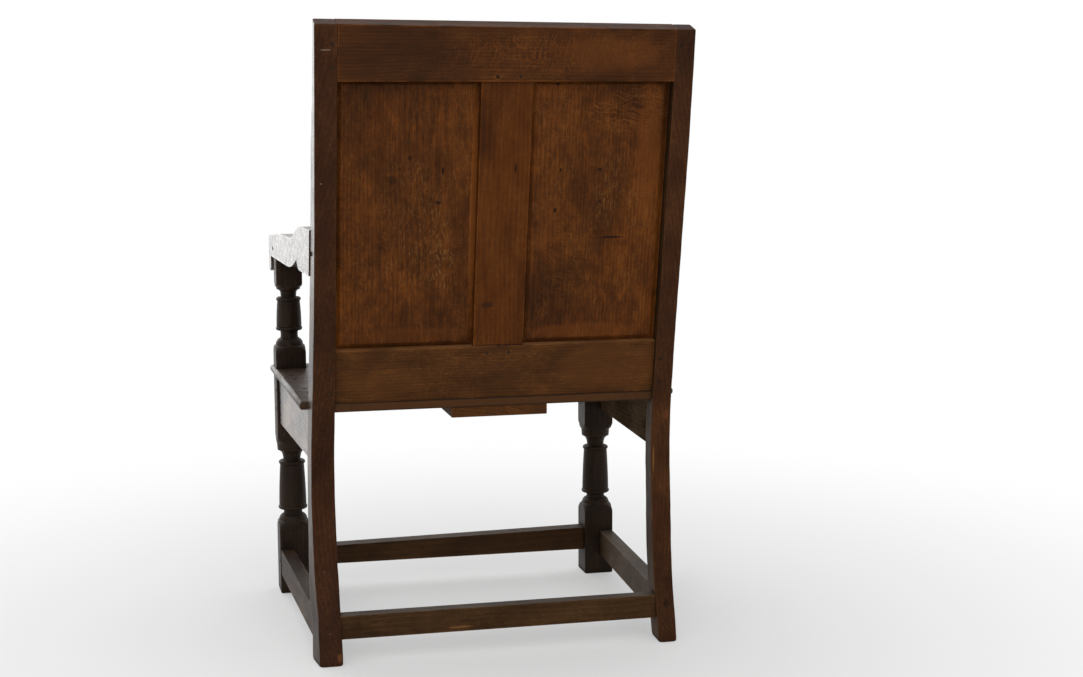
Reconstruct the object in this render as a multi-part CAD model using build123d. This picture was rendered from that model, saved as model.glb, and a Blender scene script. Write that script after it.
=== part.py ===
from build123d import *
import os
from functools import cache
from math import atan, cos, radians, sin, sqrt, tan
from typing import NamedTuple

# A joined oak armchair with a panelled back, in millimetres.
# +Z is up, the sitter faces -Y, and +X is on the sitter's left.
# The origin is on the floor, at the middle of the chair's bounding box.

LEFT = 1
RIGHT = -1

# ---- driving sizes ----
OVERALL_HEIGHT = 1087.5         # floor to the front arris of the left post's top
OVERALL_DEPTH = 678.0           # arm noses to the rear arris of the left post's top
FRONT_WIDTH = 674.0             # over the front posts
BACK_WIDTH = 635.6              # over the rear posts' rear faces
SEAT_HEIGHT = 445.5             # floor to the top of the seat boards
ARM_REST_HEIGHT = 660.0         # floor to the level underside of the arms

# ---- rear posts: raked above the seat, hollow behind it, feet kicked back ----
REAR_POST_DEPTH = 38.0
REAR_POST_WIDTH = {LEFT: 39.2, RIGHT: 33.5}
REAR_RAKE = radians(11.72)
FOOT_SPLAY = radians(18.3)
BEND_HEIGHT = 250.5             # where the two straight rear faces would meet
BEND_RADIUS = 700.0
FOOT_DEPTH = 56.0               # front to back at the floor
FOOT_FLARE = 5.3                # front arrises outside the rear ones, at the floor
TOP_PITCH = radians(15.6)       # fall of the post tops and the top rail, front to rear
TOP_FALL = 5.9                  # fall of the same, over the back's width, to the sitter's right

# ---- front posts: square blocks with turned balusters between them ----
FRONT_BLOCK = 58.0              # square at the foot and at the seat
ARM_BLOCK = 50.0                # square under the arm
FOOT_BLOCK_TOP = 118.0
SEAT_BLOCK_BOTTOM = 320.0
SEAT_BLOCK_TOP = 470.0
ARM_BLOCK_BOTTOM = 616.0
ARM_NOSE_REACH = 62.6           # arm nose ahead of the front posts' axis
CORNER_RELIEF = 1.0             # turned envelope outside the block corners

# ---- frame of the back, measured up its slope and in from the posts' rear faces ----
TOP_RAIL_HEIGHT = 92.3          # at the left post, up to the rear arris
LOWER_RAIL_TOP = 91.5           # up the slope from the seat
PANEL_FRAME_RECESS = 12.0       # lower rail and muntin behind the posts' rear faces
MUNTIN_WIDTH = 87.4
BACK_TENON_LENGTH = 26.0
BACK_TENON_RECESS = 22.0
BACK_TENON_THICKNESS = 10.0
BACK_TENON_SHOULDER = 10.0
TOP_HAUNCH = 15.0
MUNTIN_TENON_LENGTH = 28.0
MUNTIN_TENON_SHOULDER = 12.0
SHOULDER_SPARE = 6.0            # extra length that is scribed away against the rear posts

# ---- panels ----
GROOVE_RECESS = 25.0
GROOVE_WIDTH = 6.0
GROOVE_DEPTH = 8.0
PANEL_FLOAT = 1.0               # room for the panel to move in its grooves
PANEL_FIELD_RISE = 5.0          # field stands this far behind the tongue
PANEL_BEVEL = 9.0
PANEL_BEVEL_START = 0.5

# ---- seat rails ----
SEAT_BOARD_THICKNESS = 15.0
SIDE_RAIL_HEIGHT = 90.5
SIDE_RAIL_THICKNESS = 21.0
SIDE_RAIL_INSET = 5.0
FRONT_RAIL_HEIGHT = 78.5
FRONT_RAIL_THICKNESS = 25.0
FRONT_RAIL_INSET = 4.0
RAIL_TENON_THICKNESS = 8.0
RAIL_TENON_LENGTH = 26.0
RAIL_TENON_SHOULDER = 8.0
REAR_POST_TENON = 22.0          # side rail and arm tenons into the rear posts

# ---- stretchers ----
SIDE_STRETCHER_BOTTOM = 38.5
SIDE_STRETCHER_HEIGHT = 50.0
SIDE_STRETCHER_THICKNESS = 25.0
SIDE_STRETCHER_SWELL = {LEFT: 2.5, RIGHT: 4.5}  # thicker on the inside at the rear end
SIDE_STRETCHER_REACH = {LEFT: 5.0, RIGHT: 1.0}  # rear end outside the line of the seat rail
SIDE_STRETCHER_INSET = 1.5
REAR_STRETCHER_BOTTOM = 39.3
REAR_STRETCHER_HEIGHT = 41.0
REAR_STRETCHER_THICKNESS = 26.5
REAR_STRETCHER_RECESS = 0.6     # behind the post's rear face, at the stretcher's top edge
FRONT_STRETCHER_BOTTOM = {LEFT: 51.0, RIGHT: 49.5}
FRONT_STRETCHER_HEIGHT = {LEFT: 35.6, RIGHT: 45.0}
FRONT_STRETCHER_THICKNESS = 34.0
STRETCHER_TENON_THICKNESS = 9.0
STRETCHER_TENON_LENGTH = 24.0
STRETCHER_TENON_SHOULDER = 5.0
REAR_STRETCHER_TENON = 28.0
REAR_STRETCHER_TENON_RECESS = 5.5
CROSSING_WALL = 4.0             # wood between the two tenons that cross in a rear post

# ---- seat boards and batten ----
SEAT_FRONT_OVERHANG = 12.0      # ahead of the front posts
SEAT_SIDE_OVERHANG_FRONT = 5.6  # outside the front posts
SEAT_SIDE_OVERHANG_REAR = 16.6  # outside the rear posts
SEAT_REAR_PROUD = 2.0           # behind the lower back rail
NOSING_GAP = 3.5                # nosing ends this far ahead of the rear posts
NOSING_RADIUS = 6.8
SEAT_POST_CLEARANCE = 0.5
REAR_BOARD_WIDTH = 158.0
MIDDLE_BOARD_WIDTH = 168.0
BATTEN_WIDTH = 170.0
BATTEN_THICKNESS = 18.5
BATTEN_OFFSET = -9.0            # its middle, to the sitter's right
BATTEN_SETBACK = 2.0            # ahead of the seat's rear edge

# ---- arms ----
ARM_FRONT_OVERHANG = 1.5        # outside the front posts' blocks
ARM_FRONT_WIDTH = 56.0
ARM_REAR_TOP = 744.0
ARM_FRONT_TOP = 699.0
ARM_DROP_START = 92.0           # flat top ends this far ahead of the rear post
ARM_DROP_LENGTH = 180.0
ARM_DROP = 30.0
ARM_REAR_BOTTOM = 666.0
CUSP_SETBACK = 166.0            # cusp under the arm, ahead of the rear post
CUSP_HEIGHT = 683.0
REAR_LOBE_LENGTH = 35.0
FRONT_LOBE_LENGTH = 128.0
KNUCKLE_DEPTH = 33.6            # front to back
KNUCKLE_BOTTOM = 630.0
KNUCKLE_TOP_RADIUS = 14.0
ARM_TENON_THICKNESS = 10.0
ARM_TENON_INSET = 9.0           # from the outer face
ARM_TENON_HEIGHT = 50.0
POST_TENON_SIZE = 26.0          # square tenon on top of the front post
POST_TENON_HEIGHT = 34.0

# ---- pegs ----
PEG_RADIUS = 4.0                # over the corners
PEG_SIDES = 8
PEG_PROUD = 0.5
HOLE_RUN_OUT = 5.0              # a hole's bore carried past the face it starts from
PEG_END_GAP = 0.5
BACK_PEG_INSET = 9.5            # from a post's inner edge
LOWER_RAIL_PEGS = (18.9, 61.8)  # up the slope from the seat
TOP_RAIL_PEGS = (22.0, 60.0)    # up the slope from the rail's lower edge
MUNTIN_PEG_SPACING = 38.0
MUNTIN_TOP_PEG_INSET = 8.0
MUNTIN_BOTTOM_PEG_INSET = 12.5
JOINT_PEG_INSET = 10.5          # from a shoulder
SEAT_RAIL_PEG_DROPS = (28.0, 64.0)
FRONT_RAIL_PEG_DROPS = (20.0, 55.0)
SIDE_PEG_LENGTH = 24.0
FRONT_PEG_LENGTH = 32.0
FRONT_STRETCHER_PEG_LENGTH = 42.0
STRETCHER_PEG_INSET = 18.0      # rear stretcher pegs, from a post's inner edge
SEAT_PEG_LENGTH = 45.0
SEAT_PEG_SETBACK = 26.0         # seat pegs, from a board's edge
MORTISE_END_GAP = 1.0

# ---- places worked out from the sizes above ----
TOP_RUN = REAR_POST_DEPTH / cos(TOP_PITCH - REAR_RAKE)
BACK_TOP_Z = OVERALL_HEIGHT - TOP_RUN * sin(TOP_PITCH)
BACK_TOP_Y = OVERALL_DEPTH / 2
POST_RUN = REAR_POST_DEPTH / cos(REAR_RAKE)     # level depth of a raked post


def back_y(z):
    """Rear face of the posts where they are straight, at height z"""
    return BACK_TOP_Y - (BACK_TOP_Z - z) * tan(REAR_RAKE)


BEND_Y = back_y(BEND_HEIGHT)
FRONT_POST_Y = -OVERALL_DEPTH / 2 + ARM_NOSE_REACH
FRONT_POST_X = (FRONT_WIDTH - FRONT_BLOCK) / 2
FRONT_FACE_Y = FRONT_POST_Y - FRONT_BLOCK / 2
BLOCK_REAR_Y = FRONT_POST_Y + FRONT_BLOCK / 2
SEAT_BOTTOM = SEAT_HEIGHT - SEAT_BOARD_THICKNESS
SLOPE_TOP = (BACK_TOP_Z - SEAT_HEIGHT) / cos(REAR_RAKE)
SLOPE_SPARE = SLOPE_TOP + REAR_POST_DEPTH       # before the top is cut
SIDE_TAPER = (FRONT_WIDTH - BACK_WIDTH) / 2 / (back_y(SEAT_BOTTOM) - BLOCK_REAR_Y)
TOP_RAIL_BOTTOM = SLOPE_TOP - TOP_RAIL_HEIGHT
PANEL_EDGE = GROOVE_DEPTH - PANEL_FLOAT
BACK_TENON_FRONT = BACK_TENON_RECESS + BACK_TENON_THICKNESS
GROOVE_FRONT = GROOVE_RECESS + GROOVE_WIDTH
BACK_PLANE = Plane(
    origin=(0, back_y(SEAT_HEIGHT), SEAT_HEIGHT),
    x_dir=(1, 0, 0),
    z_dir=(0, -cos(REAR_RAKE), sin(REAR_RAKE)),
)


def post_outer(side, ahead=0.0):
    """Outer face of a rear post, which follows the seat's taper ahead of its rear arris"""
    return side * (BACK_WIDTH / 2 + ahead * SIDE_TAPER)


def post_inner(side, ahead=0.0):
    return post_outer(side, ahead) - side * REAR_POST_WIDTH[side]


MUNTIN_X = (post_inner(LEFT) + post_inner(RIGHT)) / 2


def foot_back_y(z):
    """Rear face of the kicked foot at height z"""
    return BEND_Y + (BEND_HEIGHT - z) * tan(FOOT_SPLAY)


def front_face_y(z):
    """Front face of the posts where they are straight, at height z"""
    return back_y(z) - POST_RUN


REAR_STRETCHER_Y = foot_back_y(REAR_STRETCHER_BOTTOM + REAR_STRETCHER_HEIGHT) - REAR_STRETCHER_RECESS
REAR_STRETCHER_TENON_Y = REAR_STRETCHER_Y - REAR_STRETCHER_TENON_RECESS
SIDE_TENON_END_Y = REAR_STRETCHER_TENON_Y - STRETCHER_TENON_THICKNESS - CROSSING_WALL
LOWER_RAIL_BACK_Y = back_y(SEAT_HEIGHT) - PANEL_FRAME_RECESS / cos(REAR_RAKE)
SEAT_REAR_Y = LOWER_RAIL_BACK_Y + SEAT_REAR_PROUD
SEAT_FRONT_Y = FRONT_FACE_Y - SEAT_FRONT_OVERHANG
FRONT_RAIL_FRONT_Y = FRONT_FACE_Y + FRONT_RAIL_INSET
FRONT_RAIL_REAR_Y = FRONT_RAIL_FRONT_Y + FRONT_RAIL_THICKNESS


# ---- small helpers ----
def between_posts():
    """From post to post, with spare length at each end to scribe away"""
    return (post_inner(RIGHT) - SHOULDER_SPARE, post_inner(LEFT) + SHOULDER_SPARE)


def block(x, y, z):
    """Upright box between two values on each axis"""
    centre = Pos((x[0] + x[1]) / 2, (y[0] + y[1]) / 2, (z[0] + z[1]) / 2)
    return centre * Box(abs(x[1] - x[0]), abs(y[1] - y[0]), abs(z[1] - z[0]))


def leaning(x, slope, recess):
    """Box in the frame of the back: across, up the slope, and in from the posts' rear faces"""
    return BACK_PLANE * block(x, slope, recess)


def slab(outline, z):
    """Level board of a plan outline between two heights"""
    return extrude(Plane.XY.offset(z[0]) * outline, amount=z[1] - z[0])


def peg_shank(start, direction, outside, inside):
    """Eight-sided shank from outside a face to a depth inside it"""
    end = Vector(start) - Vector(direction) * outside
    shank = Plane(origin=end, z_dir=direction) * RegularPolygon(PEG_RADIUS, PEG_SIDES)
    return extrude(shank, amount=outside + inside)


def peg(start, direction, length):
    """Riven peg, standing a little proud of the face it is driven from"""
    return peg_shank(start, direction, PEG_PROUD, length)


def peg_hole(start, direction, length):
    """Hole that a driven peg fills, open at the face it starts from"""
    return peg_shank(start, direction, HOLE_RUN_OUT, length + PEG_END_GAP)


def bored(body, pegs):
    """A piece with the holes for a list of pegs"""
    for place in pegs:
        body = body - peg_hole(*place)
    return body


# ---- where the pegs go: start on a face, direction, length ----
BACK_TO_FRONT = (0, -cos(REAR_RAKE), sin(REAR_RAKE))
BACK_PEG_LENGTH = REAR_POST_DEPTH + PEG_PROUD


def back_peg(x, slope, recess=0.0):
    start = BACK_PLANE.from_local_coords((x, slope, recess))
    return (tuple(start), BACK_TO_FRONT, BACK_PEG_LENGTH - recess)


def back_rail_pegs(side):
    x = post_inner(side) + side * BACK_PEG_INSET
    lower = [back_peg(x, slope) for slope in LOWER_RAIL_PEGS]
    upper = [back_peg(x, TOP_RAIL_BOTTOM + slope) for slope in TOP_RAIL_PEGS]
    return lower + upper


def muntin_pegs():
    places = []
    for side in (LEFT, RIGHT):
        x = MUNTIN_X + side * MUNTIN_PEG_SPACING / 2
        places.append(back_peg(x, TOP_RAIL_BOTTOM + MUNTIN_TOP_PEG_INSET))
        places.append(back_peg(x, LOWER_RAIL_TOP - MUNTIN_BOTTOM_PEG_INSET, PANEL_FRAME_RECESS))
    return places


def side_rail_pegs(side):
    """Pegs driven through the outer faces, two at each end of a side seat rail"""
    inward = (-side, 0, 0)
    places = []
    for drop in SEAT_RAIL_PEG_DROPS:
        z = SEAT_BOTTOM - drop
        rear_y = curved_front_y(z) + JOINT_PEG_INSET
        rear_x = post_outer(side, back_y(z) - rear_y)
        places.append(((rear_x, rear_y, z), inward, SIDE_PEG_LENGTH))
        front_y = BLOCK_REAR_Y - JOINT_PEG_INSET
        places.append(((side * FRONT_WIDTH / 2, front_y, z), inward, SIDE_PEG_LENGTH))
    return places


def front_rail_pegs(side):
    x = side * (FRONT_WIDTH / 2 - FRONT_BLOCK + JOINT_PEG_INSET)
    starts = [(x, FRONT_FACE_Y, SEAT_BOTTOM - drop) for drop in FRONT_RAIL_PEG_DROPS]
    return [(start, (0, 1, 0), FRONT_PEG_LENGTH) for start in starts]


def stretcher_pegs(side):
    """One peg at each end of each stretcher, on one side of the chair"""
    inward = (-side, 0, 0)
    side_z = SIDE_STRETCHER_BOTTOM + SIDE_STRETCHER_HEIGHT / 2
    front_z = FRONT_STRETCHER_BOTTOM[side] + FRONT_STRETCHER_HEIGHT[side] / 2
    rear_z = REAR_STRETCHER_BOTTOM + REAR_STRETCHER_HEIGHT / 2
    front_x = side * (FRONT_WIDTH / 2 - FRONT_BLOCK + JOINT_PEG_INSET)
    rear_x = post_inner(side) + side * STRETCHER_PEG_INSET
    through = foot_back_y(rear_z) - REAR_STRETCHER_TENON_Y + STRETCHER_TENON_THICKNESS
    rear_length = through + PEG_END_GAP
    return [
        ((front_x, FRONT_FACE_Y, front_z), (0, 1, 0), FRONT_STRETCHER_PEG_LENGTH),
        ((side * FRONT_WIDTH / 2, BLOCK_REAR_Y - JOINT_PEG_INSET, side_z), inward, SIDE_PEG_LENGTH),
        ((rear_x, foot_back_y(rear_z), rear_z), (0, -1, 0), rear_length),
    ]


def arm_pegs(side):
    """One peg through the rear post and one through the arm over the front post"""
    inward = (-side, 0, 0)
    rear_z = (ARM_REAR_TOP + ARM_REAR_BOTTOM) / 2
    rear_x = post_outer(side, POST_RUN - JOINT_PEG_INSET)
    rear_start = (rear_x, front_face_y(rear_z) + JOINT_PEG_INSET, rear_z)
    front_z = ARM_REST_HEIGHT + POST_TENON_HEIGHT / 2
    front_start = (arm_outer_x(side, FRONT_POST_Y), FRONT_POST_Y, front_z)
    front_length = ARM_FRONT_WIDTH / 2 + POST_TENON_SIZE / 2
    return [(rear_start, inward, SIDE_PEG_LENGTH), (front_start, inward, front_length)]


def seat_pegs(side):
    """Pegs down through each seat board into the side rail"""
    rear_joint = SEAT_REAR_Y - REAR_BOARD_WIDTH
    middle_joint = rear_joint - MIDDLE_BOARD_WIDTH
    ys = [
        curved_front_y(SEAT_BOTTOM) - SEAT_PEG_SETBACK,
        rear_joint + SEAT_PEG_SETBACK,
        rear_joint - SEAT_PEG_SETBACK,
        middle_joint + SEAT_PEG_SETBACK,
        middle_joint - SEAT_PEG_SETBACK,
        BLOCK_REAR_Y + SEAT_PEG_SETBACK,
    ]
    inset = SIDE_RAIL_INSET + SIDE_RAIL_THICKNESS / 2
    return [((side_line_x(side, y, inset), y, SEAT_HEIGHT), (0, 0, -1), SEAT_PEG_LENGTH) for y in ys]


# ---- rear posts ----
HALF_TURN = (REAR_RAKE + FOOT_SPLAY) / 2
FRONT_BEND_REACH = REAR_POST_DEPTH / cos(HALF_TURN)
FRONT_BEND_LEAN = (REAR_RAKE - FOOT_SPLAY) / 2
FRONT_BEND_Y = BEND_Y - FRONT_BEND_REACH * cos(FRONT_BEND_LEAN)
FRONT_BEND_HEIGHT = BEND_HEIGHT + FRONT_BEND_REACH * sin(FRONT_BEND_LEAN)
FRONT_BEND_RADIUS = BEND_RADIUS + REAR_POST_DEPTH
FOOT_FRONT_Y = foot_back_y(0) - FOOT_DEPTH
FRONT_SPLAY = atan((FOOT_FRONT_Y - FRONT_BEND_Y) / FRONT_BEND_HEIGHT)


def curved_front_y(z):
    """Front face of the posts at height z, down to the end of the hollow below the seat"""
    run = FRONT_BEND_RADIUS * tan((REAR_RAKE + FRONT_SPLAY) / 2)
    start_y = FRONT_BEND_Y + run * sin(REAR_RAKE)
    start_z = FRONT_BEND_HEIGHT + run * cos(REAR_RAKE)
    if z > start_z:
        return front_face_y(z)
    centre_y = start_y + FRONT_BEND_RADIUS * cos(REAR_RAKE)
    centre_z = start_z - FRONT_BEND_RADIUS * sin(REAR_RAKE)
    return centre_y - sqrt(FRONT_BEND_RADIUS**2 - (z - centre_z) ** 2)


def rear_post_profile():
    """Side profile: a straight rake and a kicked foot joined by a hollow, the foot deeper"""
    back_top = (back_y(BACK_TOP_Z + REAR_POST_DEPTH), BACK_TOP_Z + REAR_POST_DEPTH)
    front_top = (back_top[0] - POST_RUN, back_top[1])
    front_bend = (FRONT_BEND_Y, FRONT_BEND_HEIGHT)
    back_foot = (foot_back_y(0), 0)
    front_foot = (FOOT_FRONT_Y, 0)
    rear = FilletPolyline(back_top, (BEND_Y, BEND_HEIGHT), back_foot, radius=BEND_RADIUS)
    front = FilletPolyline(front_top, front_bend, front_foot, radius=FRONT_BEND_RADIUS)
    return make_face([rear, front, Line(back_top, front_top), Line(back_foot, front_foot)])


def post_slice(side, z, rear_y, taper):
    """Level section between a post's two side faces, wide of its rear and front faces"""
    behind = rear_y + FOOT_DEPTH
    ahead = rear_y - 2 * FOOT_DEPTH
    outer = post_outer(side)
    inner = post_inner(side)
    corners = [
        (outer - side * taper * FOOT_DEPTH, behind),
        (inner - side * taper * FOOT_DEPTH, behind),
        (inner + side * taper * 2 * FOOT_DEPTH, ahead),
        (outer + side * taper * 2 * FOOT_DEPTH, ahead),
    ]
    return Plane.XY.offset(z) * make_face(Polyline(*corners, close=True))


def top_waste():
    """What is cut off above the post tops and the top rail"""
    across = Vector(BACK_WIDTH, 0, TOP_FALL).normalized()
    to_front = Vector(0, -cos(TOP_PITCH), sin(TOP_PITCH))
    corner = (post_outer(LEFT), BACK_TOP_Y, BACK_TOP_Z)
    plane = Plane(origin=corner, x_dir=across, z_dir=to_front.cross(across))
    size = 2 * BACK_WIDTH
    return plane * Pos(0, 0, size / 2) * Box(2 * size, 2 * size, size)


@cache
def sawn_profile():
    """The side profile carried right across the chair"""
    return extrude(Plane.YZ.offset(-FRONT_WIDTH) * rear_post_profile(), amount=2 * FRONT_WIDTH)


@cache
def rear_post_blank(side):
    """A post before its joints are cut, its sides turned to follow the seat's taper"""
    bend = post_slice(side, BEND_HEIGHT, BEND_Y, SIDE_TAPER)
    foot = post_slice(side, 0, foot_back_y(0), FOOT_FLARE / FOOT_DEPTH)
    rake = (0, sin(REAR_RAKE), cos(REAR_RAKE))
    upper = sawn_profile() & extrude(bend, amount=OVERALL_HEIGHT, dir=rake)
    lower = sawn_profile() & loft([foot, bend], ruled=True)
    return upper + lower - top_waste()


def rear_post(side):
    inner = post_inner(side)
    post = rear_post_blank(side)
    groove = (inner, inner + side * GROOVE_DEPTH)
    slope = (LOWER_RAIL_TOP - GROOVE_DEPTH, TOP_RAIL_BOTTOM + GROOVE_DEPTH)
    post = post - leaning(groove, slope, (GROOVE_RECESS, GROOVE_FRONT))
    for tenon in (lower_rail_tenon, top_rail_tenon, rear_stretcher_tenon):
        post = post - tenon(side, MORTISE_END_GAP)
    for tenon in (side_rail_rear_tenon, side_stretcher_rear_tenon, arm_rear_tenon):
        post = post - tenon(side, MORTISE_END_GAP)
    pegs = back_rail_pegs(side) + side_rail_pegs(side) + stretcher_pegs(side) + arm_pegs(side)
    return bored(post, pegs)


# ---- rails, muntin and panels of the back ----
def lower_rail_tenon(side, gap=0.0):
    x = post_inner(side)
    end = x + side * (BACK_TENON_LENGTH + gap)
    slope = (BACK_TENON_SHOULDER, LOWER_RAIL_TOP - BACK_TENON_SHOULDER)
    return leaning((x, end), slope, (BACK_TENON_RECESS, BACK_TENON_FRONT))


def top_rail_tenon(side, gap=0.0):
    x = post_inner(side)
    end = x + side * (BACK_TENON_LENGTH + gap)
    slope = (TOP_RAIL_BOTTOM + BACK_TENON_SHOULDER, SLOPE_TOP - TOP_FALL - TOP_HAUNCH)
    return leaning((x, end), slope, (BACK_TENON_RECESS, BACK_TENON_FRONT))


def muntin_tenon(end, gap=0.0):
    """Tenon at one end of the muntin: 1 at the top, -1 at the bottom"""
    shoulder = TOP_RAIL_BOTTOM if end > 0 else LOWER_RAIL_TOP
    half = MUNTIN_WIDTH / 2 - MUNTIN_TENON_SHOULDER
    slope = (shoulder, shoulder + end * (MUNTIN_TENON_LENGTH + gap))
    return leaning((MUNTIN_X - half, MUNTIN_X + half), slope, (BACK_TENON_RECESS, BACK_TENON_FRONT))


def rail_groove(slope):
    return leaning(between_posts(), slope, (GROOVE_RECESS, GROOVE_FRONT))


def scribed(rail):
    """A rail with its shoulders cut to the faces of the rear posts"""
    return rail - rear_post_blank(LEFT) - rear_post_blank(RIGHT)


def top_back_rail():
    rail = leaning(between_posts(), (TOP_RAIL_BOTTOM, SLOPE_SPARE), (0, REAR_POST_DEPTH))
    rail = scribed(rail - top_waste())
    rail = rail - rail_groove((TOP_RAIL_BOTTOM, TOP_RAIL_BOTTOM + GROOVE_DEPTH))
    rail = rail - muntin_tenon(1, MORTISE_END_GAP)
    rail = rail + top_rail_tenon(LEFT) + top_rail_tenon(RIGHT)
    return bored(rail, back_rail_pegs(LEFT) + back_rail_pegs(RIGHT) + muntin_pegs())


def lower_back_rail():
    """Lower rail of the back, its lower edge cut level to sit on the seat"""
    across = between_posts()
    slope = (-REAR_POST_DEPTH, LOWER_RAIL_TOP)
    rail = leaning(across, slope, (PANEL_FRAME_RECESS, REAR_POST_DEPTH))
    below = block(across, (BACK_TOP_Y, FRONT_FACE_Y), (0, SEAT_HEIGHT))
    rail = scribed(rail - below)
    rail = rail - rail_groove((LOWER_RAIL_TOP - GROOVE_DEPTH, LOWER_RAIL_TOP))
    rail = rail - muntin_tenon(-1, MORTISE_END_GAP)
    rail = rail + lower_rail_tenon(LEFT) + lower_rail_tenon(RIGHT)
    return bored(rail, back_rail_pegs(LEFT) + back_rail_pegs(RIGHT) + muntin_pegs())


def back_muntin():
    half = MUNTIN_WIDTH / 2
    slope = (LOWER_RAIL_TOP, TOP_RAIL_BOTTOM)
    muntin = leaning((MUNTIN_X - half, MUNTIN_X + half), slope, (PANEL_FRAME_RECESS, REAR_POST_DEPTH))
    for side in (LEFT, RIGHT):
        edge = MUNTIN_X + side * half
        groove = (edge, edge - side * GROOVE_DEPTH)
        muntin = muntin - leaning(groove, slope, (GROOVE_RECESS, GROOVE_FRONT))
    muntin = muntin + muntin_tenon(1) + muntin_tenon(-1)
    return bored(muntin, muntin_pegs())


def back_panel(side):
    """Panel floating in its grooves, its rear margins bevelled down to a tongue"""
    near = MUNTIN_X + side * MUNTIN_WIDTH / 2
    far = post_inner(side)
    slope = (LOWER_RAIL_TOP - PANEL_EDGE, TOP_RAIL_BOTTOM + PANEL_EDGE)
    across = (near - side * PANEL_EDGE, far + side * PANEL_EDGE)
    board = leaning(across, slope, (GROOVE_RECESS, GROOVE_FRONT))
    centre = Pos((near + far) / 2, (LOWER_RAIL_TOP + TOP_RAIL_BOTTOM) / 2)
    width = abs(far - near) - 2 * PANEL_BEVEL_START
    height = TOP_RAIL_BOTTOM - LOWER_RAIL_TOP - 2 * PANEL_BEVEL_START
    foot = BACK_PLANE.offset(GROOVE_RECESS) * centre * Rectangle(width, height)
    top = BACK_PLANE.offset(GROOVE_RECESS - PANEL_FIELD_RISE) * centre
    top = top * Rectangle(width - 2 * PANEL_BEVEL, height - 2 * PANEL_BEVEL)
    return board + loft([top, foot])


# ---- front posts ----
class Baluster(NamedTuple):
    """Heights and radii of a turned length between two square blocks, from the bottom up"""

    low_shoulder: float             # height of the arched shoulder on the lower block
    shoulder_radius: float
    base_height: float              # rounded base above the shoulder
    low_neck: float
    low_neck_radius: float
    low_ring_radius: float
    column_bottom_radius: float
    column_top_radius: float
    high_ring_radius: float
    high_neck: float
    high_neck_radius: float
    bell_height: float
    bell_radius: float
    cap_height: float               # plain band between the bell and the upper shoulder
    cap_radius: float               # at the upper end of that band
    high_shoulder: float


RING_HEIGHT = 8.0
BASE_ROUND = 2.2                # how far a base stands out from a plain taper
BASE_TAPERS = 2                 # straight cuts that round a base

LOWER_BALUSTER = Baluster(
    low_shoulder=25.0,
    shoulder_radius=28.5,
    base_height=12.0,
    low_neck=9.0,
    low_neck_radius=18.5,
    low_ring_radius=28.3,
    column_bottom_radius=26.6,
    column_top_radius=23.3,
    high_ring_radius=25.8,
    high_neck=8.0,
    high_neck_radius=17.5,
    bell_height=13.0,
    bell_radius=26.5,
    cap_height=13.0,
    cap_radius=28.5,
    high_shoulder=25.0,
)

UPPER_BALUSTER = Baluster(
    low_shoulder=19.0,
    shoulder_radius=27.5,
    base_height=14.0,
    low_neck=14.0,
    low_neck_radius=17.3,
    low_ring_radius=25.6,
    column_bottom_radius=24.2,
    column_top_radius=21.9,
    high_ring_radius=24.0,
    high_neck=6.0,
    high_neck_radius=15.5,
    bell_height=9.0,
    bell_radius=21.5,
    cap_height=5.0,
    cap_radius=23.5,
    high_shoulder=14.0,
)


def rounded_taper(start, end):
    """Points after start along an arc to end, as the straight cuts that round a base"""
    chord = Vector(*end) - Vector(*start)
    along = chord.normalized()
    outward = Vector(along.Y, -along.X)
    half = chord.length / 2
    radius = (half**2 + BASE_ROUND**2) / (2 * BASE_ROUND)
    swing = 2 * atan(BASE_ROUND / half)
    points = []
    for step in range(1, BASE_TAPERS + 1):
        angle = swing * (2 * step / BASE_TAPERS - 1)
        point = Vector(*start) + along * (half + radius * sin(angle))
        point = point + outward * (BASE_ROUND - radius * (1 - cos(angle)))
        points.append((point.X, point.Y))
    return points


def turned_length(turning, bottom, top, low_corner, high_corner):
    """Radius and height along one turned length between two blocks, from the bottom up"""
    base = bottom + turning.low_shoulder
    neck = base + turning.base_height
    ring = neck + turning.low_neck
    cap = top - turning.high_shoulder
    bell = cap - turning.cap_height
    high_neck = bell - turning.bell_height
    high_ring = high_neck - turning.high_neck
    shoulder = (turning.shoulder_radius, base)
    low_neck = (turning.low_neck_radius, neck)
    return [
        (low_corner, bottom),
        shoulder,
        *rounded_taper(shoulder, low_neck),
        (turning.low_neck_radius, ring),
        (turning.low_ring_radius, ring),
        (turning.column_bottom_radius, ring + RING_HEIGHT),
        (turning.column_top_radius, high_ring - RING_HEIGHT),
        (turning.high_ring_radius, high_ring),
        (turning.high_neck_radius, high_ring),
        (turning.high_neck_radius, high_neck),
        (turning.bell_radius, bell),
        (turning.cap_radius, cap),
        (high_corner, top),
    ]


def turned_envelope():
    """Solid of revolution that the square post is turned down to"""
    block_corner = FRONT_BLOCK / sqrt(2) + CORNER_RELIEF
    arm_corner = ARM_BLOCK / sqrt(2) + CORNER_RELIEF
    lower = (FOOT_BLOCK_TOP, SEAT_BLOCK_BOTTOM, block_corner, block_corner)
    upper = (SEAT_BLOCK_TOP, ARM_BLOCK_BOTTOM, block_corner, arm_corner)
    outline = [(0, 0), (block_corner, 0)]
    outline += turned_length(LOWER_BALUSTER, *lower)
    outline += turned_length(UPPER_BALUSTER, *upper)
    outline += [(arm_corner, ARM_REST_HEIGHT), (0, ARM_REST_HEIGHT)]
    return revolve(Plane.XZ * make_face(Polyline(*outline, close=True)), Axis.Z)


def front_post_tenon(gap=0.0):
    half = POST_TENON_SIZE / 2
    return block((-half, half), (-half, half), (ARM_REST_HEIGHT, ARM_REST_HEIGHT + POST_TENON_HEIGHT + gap))


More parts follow.
